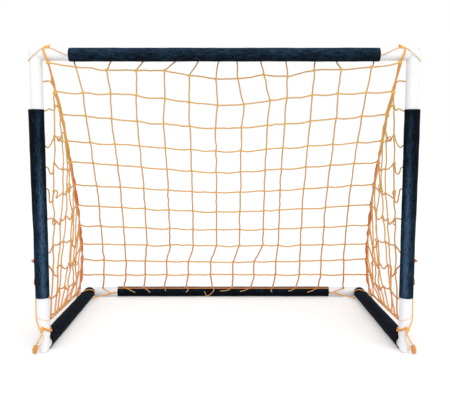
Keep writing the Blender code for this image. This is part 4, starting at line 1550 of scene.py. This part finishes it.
@dataclass
class SpringButtons:
    """The two snap buttons at the feet and the leaf springs behind them."""

    height: float = 0.078
    turn: float = math.radians(15)
    back: float = 0.0194
    thickness: float = 0.0008
    width: float = 0.008
    travel: float = 0.0065
    bend: float = 0.003
    bend_height: float = 0.050
    clearance: float = 0.0010
    near_leg: Levels = (-0.008, 0.000, 0.008)
    far_leg: Levels = (0.010, 0.001, -0.008)

    def build(self) -> None:
        """Dresses the buttons and builds the springs."""
        for side in Side:
            dress_node(side.named("spring_button"), ZINC)
            self._leaf(side)

    def _leaf(self, side: Side) -> None:
        """A V of strip: one leg behind the button, the bend above, one leg on the far wall.

        The strip is a closed section of eight corners carried along a line in the plane of the button's
        axis and Z. The real strip flattens towards the far wall as the button goes in; this one is built at
        rest.

        Args:
            side: which side.
        """
        out = np.array([-side.value * math.sin(self.turn), -math.cos(self.turn), 0.0])
        centre = np.array([side.value * GOAL.post_x, GOAL.front_y, self.height])
        near = self.back - GOAL.gap - self.thickness / 2
        far = -(GOAL.slim_r - GOAL.tube_wall) + self.thickness / 2 + self.clearance
        arc = np.linspace(math.pi, 0, 12)
        bend = np.stack([-self.bend * np.cos(arc), self.bend_height + self.bend * np.sin(arc)], axis=1)
        flat = np.concatenate([[(near, z) for z in self.near_leg], bend, [(far, z) for z in self.far_leg]])
        line = centre + out * flat[:, :1] + np.array([0, 0, 1.0]) * flat[:, 1:]
        wide = np.cross(out, [0, 0, 1.0])
        thick = np.cross(unit(np.gradient(line, axis=0)), wide)
        shares = np.array([-1, -0.9, 0.9, 1, 1, 0.9, -0.9, -1])[:, None] * self.width / 2
        edges = np.repeat([-1, 1], 4)[:, None] * self.thickness / 2
        grid = line[:, None] + wide * shares + thick[:, None] * edges
        strip = skin(grid[None], lengths_along(line)[None], 0.0, False)
        caps = np.array([[0, 1, 6, 7], [1, 2, 5, 6], [2, 3, 4, 5]])
        surface = replace(
            strip,
            quads=np.concatenate([strip.quads, caps[:, ::-1], caps + len(strip.points) - 8]),
            quad_map=np.concatenate([strip.quad_map, np.zeros((6, 4, 2))]),
        )
        piece = add_piece(side.named("leaf_spring"), surface, SPRING, side.named("button_spring"))
        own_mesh(piece)


@dataclass
class Ties:
    """The knots, loops and tails that hold the net to one side of the frame."""

    side: Side
    lashing: float = 0.0050
    loop: float = 0.0044
    thin: float = 0.0036
    thicker: float = 0.0008
    thread: float = 0.0011
    stray: float = 0.0010
    arm_knot: Point = (0.0235, 0.0180, 0.0155)
    foot_knot: Point = (0.0175, 0.0165, 0.0250)
    loop_knot: Point = (0.0150, 0.0120, 0.0165)
    inner_lump: Point = (0.0100, 0.0120, 0.0130)
    tucked_lump: Point = (0.0110, 0.0110, 0.0120)
    corner_lump: Point = (0.0110, 0.0100, 0.0115)
    coil_turns: int = 6
    coil_height: float = 0.0340 * 0.92
    coil_strand: float = 0.0024
    coil_lean: float = math.radians(-14)
    coil_core: Point = (0.0155, 0.0145, 0.0380)

    def build(self) -> None:
        """Builds the ties of one side."""
        self._top()
        self._foot()
        self._tail()
        self._rear()
        self._outer_loops()

    def _add(
        self, name: str, parts: Iterable[Surface], finish: Finish, *nodes: str, slot: Slot | None = None
    ) -> bpy.types.Object:
        """One piece of this side, of several surfaces.

        Args:
            name: the piece's name, without the side.
            parts: its surfaces.
            finish: its finish.
            nodes: CAD nodes that it stands for, without the side.
            slot: its material slot, where it isn't the finish's own.

        Returns:
            The new object.
        """
        replaced = map(self.side.named, nodes)
        return add_piece(self.side.named(name), Surface.join(parts), finish, *replaced, slot=slot)

    def _cord(self, name: str, route: Places, diameter: float, tint: float, node: str) -> None:
        """A laid cord along a route on this side, in place of a CAD node."""
        self._add(name, [laid_rope(drawn(route, self.side), diameter, tint)], ROPE, node)

    def _top(self) -> None:
        """The knot on the arm, and the cords round the arm, over the corner and to the cover."""
        side, z = self.side, GOAL.bar_z
        top = z + GOAL.slim_r + 0.0062
        knot = placed([(0.6900, 0.001, top)], side)[0]
        tip = [(0.6860, -0.001, top + 0.002), (0.6810, -0.003, top + 0.006), (0.6800, -0.004, top + 0.0095)]
        tied = [
            overhand(knot, self.arm_knot, 0.0031, 0.25 * side.value, -0.6),
            laid_rope(drawn(tip, side, 0.003), self.lashing, -0.4),
        ]
        self._add("arm_knot", tied, ROPE, "top_knot")
        wrap = GOAL.slim_r + self.lashing / 2 + 0.0006
        turn = np.linspace(0.52, 3.0, 14)
        ways = (0.6905 - 0.004 * turn / math.pi, wrap * np.sin(turn), z + wrap * np.cos(turn))
        self._cord("arm_lashing", np.stack(ways, axis=1), self.lashing, 0.5, "arm_loop")
        front = (
            (0.7020, -0.0055, z + 0.0255), (0.7085, -0.0150, z + 0.0215), (0.7160, -0.0235, z + 0.0140),
            (0.7260, -0.0290, z + 0.0040), (0.7400, -0.0294, z - 0.0080), (0.7530, -0.0236, z - 0.0180),
            (0.7622, -0.0120, z - 0.0235), (0.7652, 0.0000, z - 0.0250),
        )
        back = [(x, -y, height) for x, y, height in front[-2::-1]]
        over = laid_rope(drawn([*front, *back], side), self.thin, 0.05)
        self._add("corner_cord", [over], CORD, "corner_loop")
        head = (
            (0.6780, -0.0080, z + 0.0248), (0.6650, -0.0165, z + 0.0205), (0.6450, -0.0243, z + 0.0110),
            (0.6280, -0.0272, z + 0.0040), (0.6150, -0.0280, z - 0.0020),
            (GOAL.crossbar_cover_half + 0.0007, -0.0280, z - 0.0045),
        )
        cord = laid_rope(drawn(head, side), self.thin + self.thicker, 0.45)
        self._add("cover_cord", [cord], CORD, "head_cord", slot=Slot.ROPE)

    def _foot(self) -> None:
        """The cord down the upright, the lashing and knot round its foot, and a stray strand across it.

        The lashing is two turns of cord side by side, with a small knot at the inner end.
        """
        side, x = self.side, GOAL.post_x
        post = (
            (x + 0.0283, -0.0010, GOAL.post_cover_ends[0] - 0.0006), (x + 0.0290, -0.0010, 0.200),
            (x + 0.0280, -0.0060, 0.165), (x + 0.0235, -0.0165, 0.132), (x + 0.0095, -0.0300, 0.111),
        )
        self._cord("post_cord_laid", post, self.lashing, -0.35, "post_cord")
        wrap = GOAL.tube_r + self.lashing / 2 + 0.0008
        turn = np.radians(np.linspace(96, 320, 30))
        out, forward = wrap * np.cos(turn), -wrap * np.sin(turn)
        ring = np.stack([x + out, forward, 0.1118 + 0.72 * out], axis=1)
        inner = ring[np.argmin(ring[:, 0])] + [-0.0010, -0.0020, -0.0010]
        lashing = [
            *(laid_rope(placed(ring + [0, 0, rise], side), self.lashing, 0.3) for rise in (0.0022, -0.0026)),
            lumps(placed(inner, side), self.inner_lump, 0.3, 0.7),
            lumps(placed(ring[-1], side), self.tucked_lump, 0.0, 0.3),
        ]
        self._add("foot_lashing", lashing, ROPE, "foot_loop")
        centre = placed((x - 0.0002, -0.0340, 0.1025), side)
        knot = overhand(centre, self.foot_knot, 0.0032, 0.3 * side.value, -0.5)
        self._add("foot_tie", [knot], ROPE, "foot_knot")
        reach, turn = GOAL.tube_r + 0.0014, np.radians(np.linspace(20, 168, 14))
        fall = 0.155 - 0.024 * np.linspace(0, 1, 14) ** 0.8
        bend = np.stack([x + reach * np.cos(turn), -reach * np.sin(turn), fall], axis=1)
        strand = np.vstack([(x + 0.0275, -0.0060, 0.158), bend, (x - 0.0180, 0.0350, 0.1235)])
        self._add("stray_strand", [sweep(drawn(strand, side, 0.005), self.stray, 7, tint=0.2)], CORD)

    def _tail(self) -> None:
        """The hanging tail and its end knot."""
        x = GOAL.post_x
        tail = (
            (x + 0.0003, -0.0360, 0.0910), (x - 0.0005, -0.0378, 0.0820), (x + 0.0060, -0.0385, 0.0670),
            (x + 0.0140, -0.0390, 0.0530), (x + 0.0212, -0.0390, 0.0422),
        )
        end_knot = self._barrel_knot(placed((x + 0.0255, -0.0390, 0.0230), self.side))
        path = drawn(tail, self.side, FINE_STEP)
        cord = self._add("hanging_tail", [laid_rope(path, self.lashing, -0.2)], ROPE, "tie_tail")

    def _barrel_knot(self, centre: Array) -> bpy.types.Object:
        """The tail's end knot: six turns of cord round its own run, wide in the middle, and a loose thread.

        The turns are a helix whose radius is 6.4 mm plus 2.2 mm times the sine of the height's share.

        Args:
            centre: its middle.

        Returns:
            The knot, which goes with the tail.
        """
        share = np.linspace(0, 1, 96)
        turn = share * self.coil_turns * FULL_TURN
        reach = 0.0064 + 0.0022 * np.sin(share * math.pi)
        ways = (reach * np.cos(turn), reach * np.sin(turn) * 0.9, (0.5 - share) * self.coil_height)
        lean = self.side.value * self.coil_lean
        x = GOAL.post_x
        loose = (
            (x - 0.0010, -0.0400, 0.0930), (x - 0.0052, -0.0385, 0.0775), (x - 0.0095, -0.0370, 0.0655),
            (x - 0.0040, -0.0385, 0.0495), (x + 0.0098, -0.0400, 0.0340), (x + 0.0200, -0.0400, 0.0270),
        )
        parts = [
            sweep(np.stack(ways, axis=1) @ tilt_about_y(lean).T + centre, self.coil_strand, tint=0.55),
            lumps(centre, self.coil_core, -lean, 1.0, 7, 10),
            sweep(drawn(loose, self.side, FINE_STEP), self.thread, 7, tint=-0.4),
        ]
        return self._add("tail_end", parts, TWINE, "tail_knot", slot=Slot.ROPE)

    def _rear(self) -> None:
        """The cord across the inside of the rear corner and the band over the side rail's cover.

        The cord is two runs twisted once round each other, with two knots.
        """
        end = abs(GOAL.rear_cover_ends[(self.side.value + 1) // 2])
        front, z = GOAL.depth - GOAL.tube_r - self.lashing / 2, GOAL.rail_z
        across = (
            (end + 0.0006, front - 0.0008, z + 0.0020), (end + 0.035, front - 0.0020, z - 0.0035),
            (end + 0.080, front - 0.0250, z - 0.0110), (GOAL.post_x - 0.0290, 0.8020, z - 0.0160),
        )
        path = drawn(across, self.side)
        runs = twisted_strands(path, 0.0019, lengths_along(path)[-1] * 1.3, 2, CORD_STEP)
        spots = point_along(path, (0.010, 0.034)) + [0, -0.002, 0.001]
        knots = lumps(spots, self.corner_lump, (0.4, -0.5), (-0.4, 0.1))
        parts = [sweep(runs, self.lashing * 0.40, tint=0.15), knots]
        self._add("rear_corner_cord", parts, ROPE, "rear_lashing")
        wrap = GOAL.rail_cover_radii[1] + self.lashing / 2 + 0.0018
        out, up = GOAL.rail_cover_offsets[1]
        turn = np.linspace(math.radians(-40), math.radians(188), 24)
        x, y = GOAL.post_x + out + wrap * np.cos(turn), 0.763 - 0.072 * np.cos(turn)
        band = np.stack([x, y, z + up + wrap * np.sin(turn)], axis=1)
        self._cord("rail_band", band, self.lashing, 0.1, "rear_band")

    def _outer_loops(self) -> None:
        """A small knot and a bight of cord that show past the outer side of the upright's cover."""
        x = GOAL.post_x
        high = [(x + 0.014, 0.028, 0.386), (x + 0.026, 0.016, 0.384), (x + 0.0325, 0.003, 0.379)]
        low = [
            (x + 0.016, 0.026, 0.314), (x + 0.0290, 0.008, 0.312), (x + 0.0325, 0.001, 0.297),
            (x + 0.0315, 0.001, 0.278), (x + 0.020, 0.022, 0.262),
        ]
        centre = placed((x + 0.0345, 0.0, 0.377), self.side)
        parts = [laid_rope(drawn(way, self.side, FINE_STEP), self.loop, 0.8) for way in (high, low)]
        parts.append(overhand(centre, self.loop_knot, 0.0026, 0.5 * self.side.value, 0.8))
        self._add("cover_loops", parts, ROPE)


@dataclass
class RearTails:
    """The loose ends of the net's columns, tied over the rear rope and hanging on the cover's face.

    Each end has four places: a step across from its column, and a height down the cover in its radii.
    """

    diameter: float = 0.0042
    knot: Point = (0.0120, 0.0095, 0.0100)
    ends: tuple[Spots, ...] = (
        ((0.0, 0.85), (0.009, 0.62), (0.021, 0.40), (0.036, 0.10)),
        ((0.003, 0.88), (0.016, 0.68), (0.032, 0.46), (0.060, 0.03)),
        ((0.0, 0.95), (0.012, 0.70), (0.026, 0.40), (0.037, 0.03)),
        ((0.002, 0.94), (0.003, 0.74), (0.005, 0.50), (0.006, 0.31)),
        ((0.0, 0.94), (0.009, 0.62), (0.008, 0.38), (-0.001, 0.12)),
        ((0.005, 0.85), (0.008, 0.31), (-0.026, -0.70), (-0.041, 0.22)),
        ((-0.003, 0.94), (-0.014, 0.60), (-0.034, 0.38), (-0.063, 0.31)),
        ((-0.002, 0.85), (-0.018, 0.60), (-0.036, 0.40), (-0.057, 0.22)),
        ((0.0, 0.85), (-0.004, 0.55), (-0.008, 0.35), (-0.002, 0.15)),
        ((0.0, 0.85), (-0.012, 0.60), (-0.026, 0.40), (-0.040, 0.30)),
        ((0.0, 0.85), (-0.016, 0.55), (-0.034, 0.30), (-0.056, 0.08)),
        ((0.0, 0.85), (-0.020, 0.60), (-0.040, 0.35), (-0.055, 0.20)),
    )

    def build(self) -> None:
        """Builds the tails as one piece, each a curve through its places on the cover's round."""
        reach = GOAL.cover_r + self.diameter / 2 + GOAL.gap
        knots = np.array([PLAN.back_knot(column, PLAN.rows) for column in range(1, PLAN.columns)])
        parts = []
        for knot, places in zip(knots, self.ends):
            step, level = np.array(places).T
            out = -np.sqrt(np.maximum(0.0, 1 - level**2)) * reach
            points = np.stack([knot[0] + step, GOAL.rear_y + out, GOAL.rail_z + level * reach], axis=1)
            parts.append(laid_rope(smooth_path(points, FINE_STEP), self.diameter, 0.2))
        parts.append(lumps(knots, self.knot, np.linspace(-1, 1, len(knots)), 0.3))
        add_piece("rear_tails", Surface.join(parts), TWINE)


@dataclass
class Studio:
    """Camera, floor, backdrop and plain soft light."""

    focal: float = 614.0
    image_width: int = 450
    distance: float = 2.440
    eye: float = 0.868
    pitch: float = 5.716
    centre: float = 224.31
    sky: float = 0.60
    floor_grey: float = 0.80
    floor_lift: float = 0.30
    lamps: tuple[tuple[str, Point, float, float], ...] = (
        ("key", (-0.15, 0.74, -0.66), 50.0, 1.55),
        ("fill_left", (0.85, 0.45, -0.25), 60.0, 0.34),
        ("fill_right", (-0.85, 0.45, -0.25), 60.0, 0.34),
    )

    def build(self) -> None:
        """Sets the scene up round the goal."""
        self._camera()
        self._floor()
        self._world()
        self._lamps()
        bpy.context.scene.view_settings.view_transform = "Standard"

    def _camera(self) -> None:
        """The camera at the photograph's own viewing angle."""
        data = bpy.data.cameras.new("camera")
        data.sensor_width = 36.0
        data.lens = self.focal / self.image_width * data.sensor_width
        data.shift_x = (self.image_width / 2 - self.centre) / self.image_width
        camera = bpy.data.objects.new("camera", data)
        link(camera)
        camera.location = (0.0, GOAL.front_y - self.distance, self.eye)
        camera.rotation_euler = Euler((math.radians(90 - self.pitch), 0.0, 0.0))
        bpy.context.scene.camera = camera

    def _floor(self) -> None:
        """A pale matt floor, lifted to white only for rays that show it, which takes the goal's shadow."""
        mesh = bpy.data.meshes.new("floor")
        mesh.from_pydata([(-90, -20, 0), (90, -20, 0), (90, 160, 0), (-90, 160, 0)], [], [(0, 1, 2, 3)])
        floor = bpy.data.objects.new("floor", mesh)
        link(floor)
        material = bpy.data.materials.new("pale_floor")
        material.use_nodes = True
        graph = Graph(material.node_tree)
        matt = graph.node("ShaderNodeBsdfDiffuse", values={"Color": (*[self.floor_grey] * 3, 1.0)})
        lift = graph.seen() * self.floor_lift
        glow = graph.node("ShaderNodeEmission", values={"Color": WHITE, "Strength": lift})
        graph.end(graph.node("ShaderNodeAddShader", values={0: matt, 1: glow}))
        mesh.materials.append(material)

    def _world(self) -> None:
        """White where it is seen or mirrored, and a plain soft level of light elsewhere."""
        world = bpy.data.worlds.new("studio")
        bpy.context.scene.world = world
        world.use_nodes = True
        graph = Graph(world.node_tree)
        strength = graph.seen() * (1.0 - self.sky) + self.sky
        background = graph.node("ShaderNodeBackground", values={"Color": WHITE, "Strength": strength})
        graph.end(background, "ShaderNodeOutputWorld")

    def _lamps(self) -> None:
        """A wide soft sun from above the camera and a weak one from each side, so that the light is even."""
        for name, way, spread, power in self.lamps:
            data = bpy.data.lights.new(name, "SUN")
            data.angle = math.radians(spread)
            data.energy = power
            lamp = bpy.data.objects.new(name, data)
            link(lamp)
            lamp.location = (0.0, -3.0, 3.0)
            tilt = math.atan2(math.hypot(way[0], way[1]), -way[2])
            lamp.rotation_euler = Euler((tilt, 0.0, math.atan2(way[1], way[0]) - math.pi / 2))


def main() -> None:
    """Builds the studio and every sub-assembly in order."""
    Studio().build()
    for side in Side:
        Ties(side).build()
    Tubes().build()
    SpringButtons().build()
    Covers().build()
    Ropes().build()
    BackNet().build()
    for side in Side:
        SideNet(side).build()
    RearTails().build()


if __name__ == "__main__":
    main()
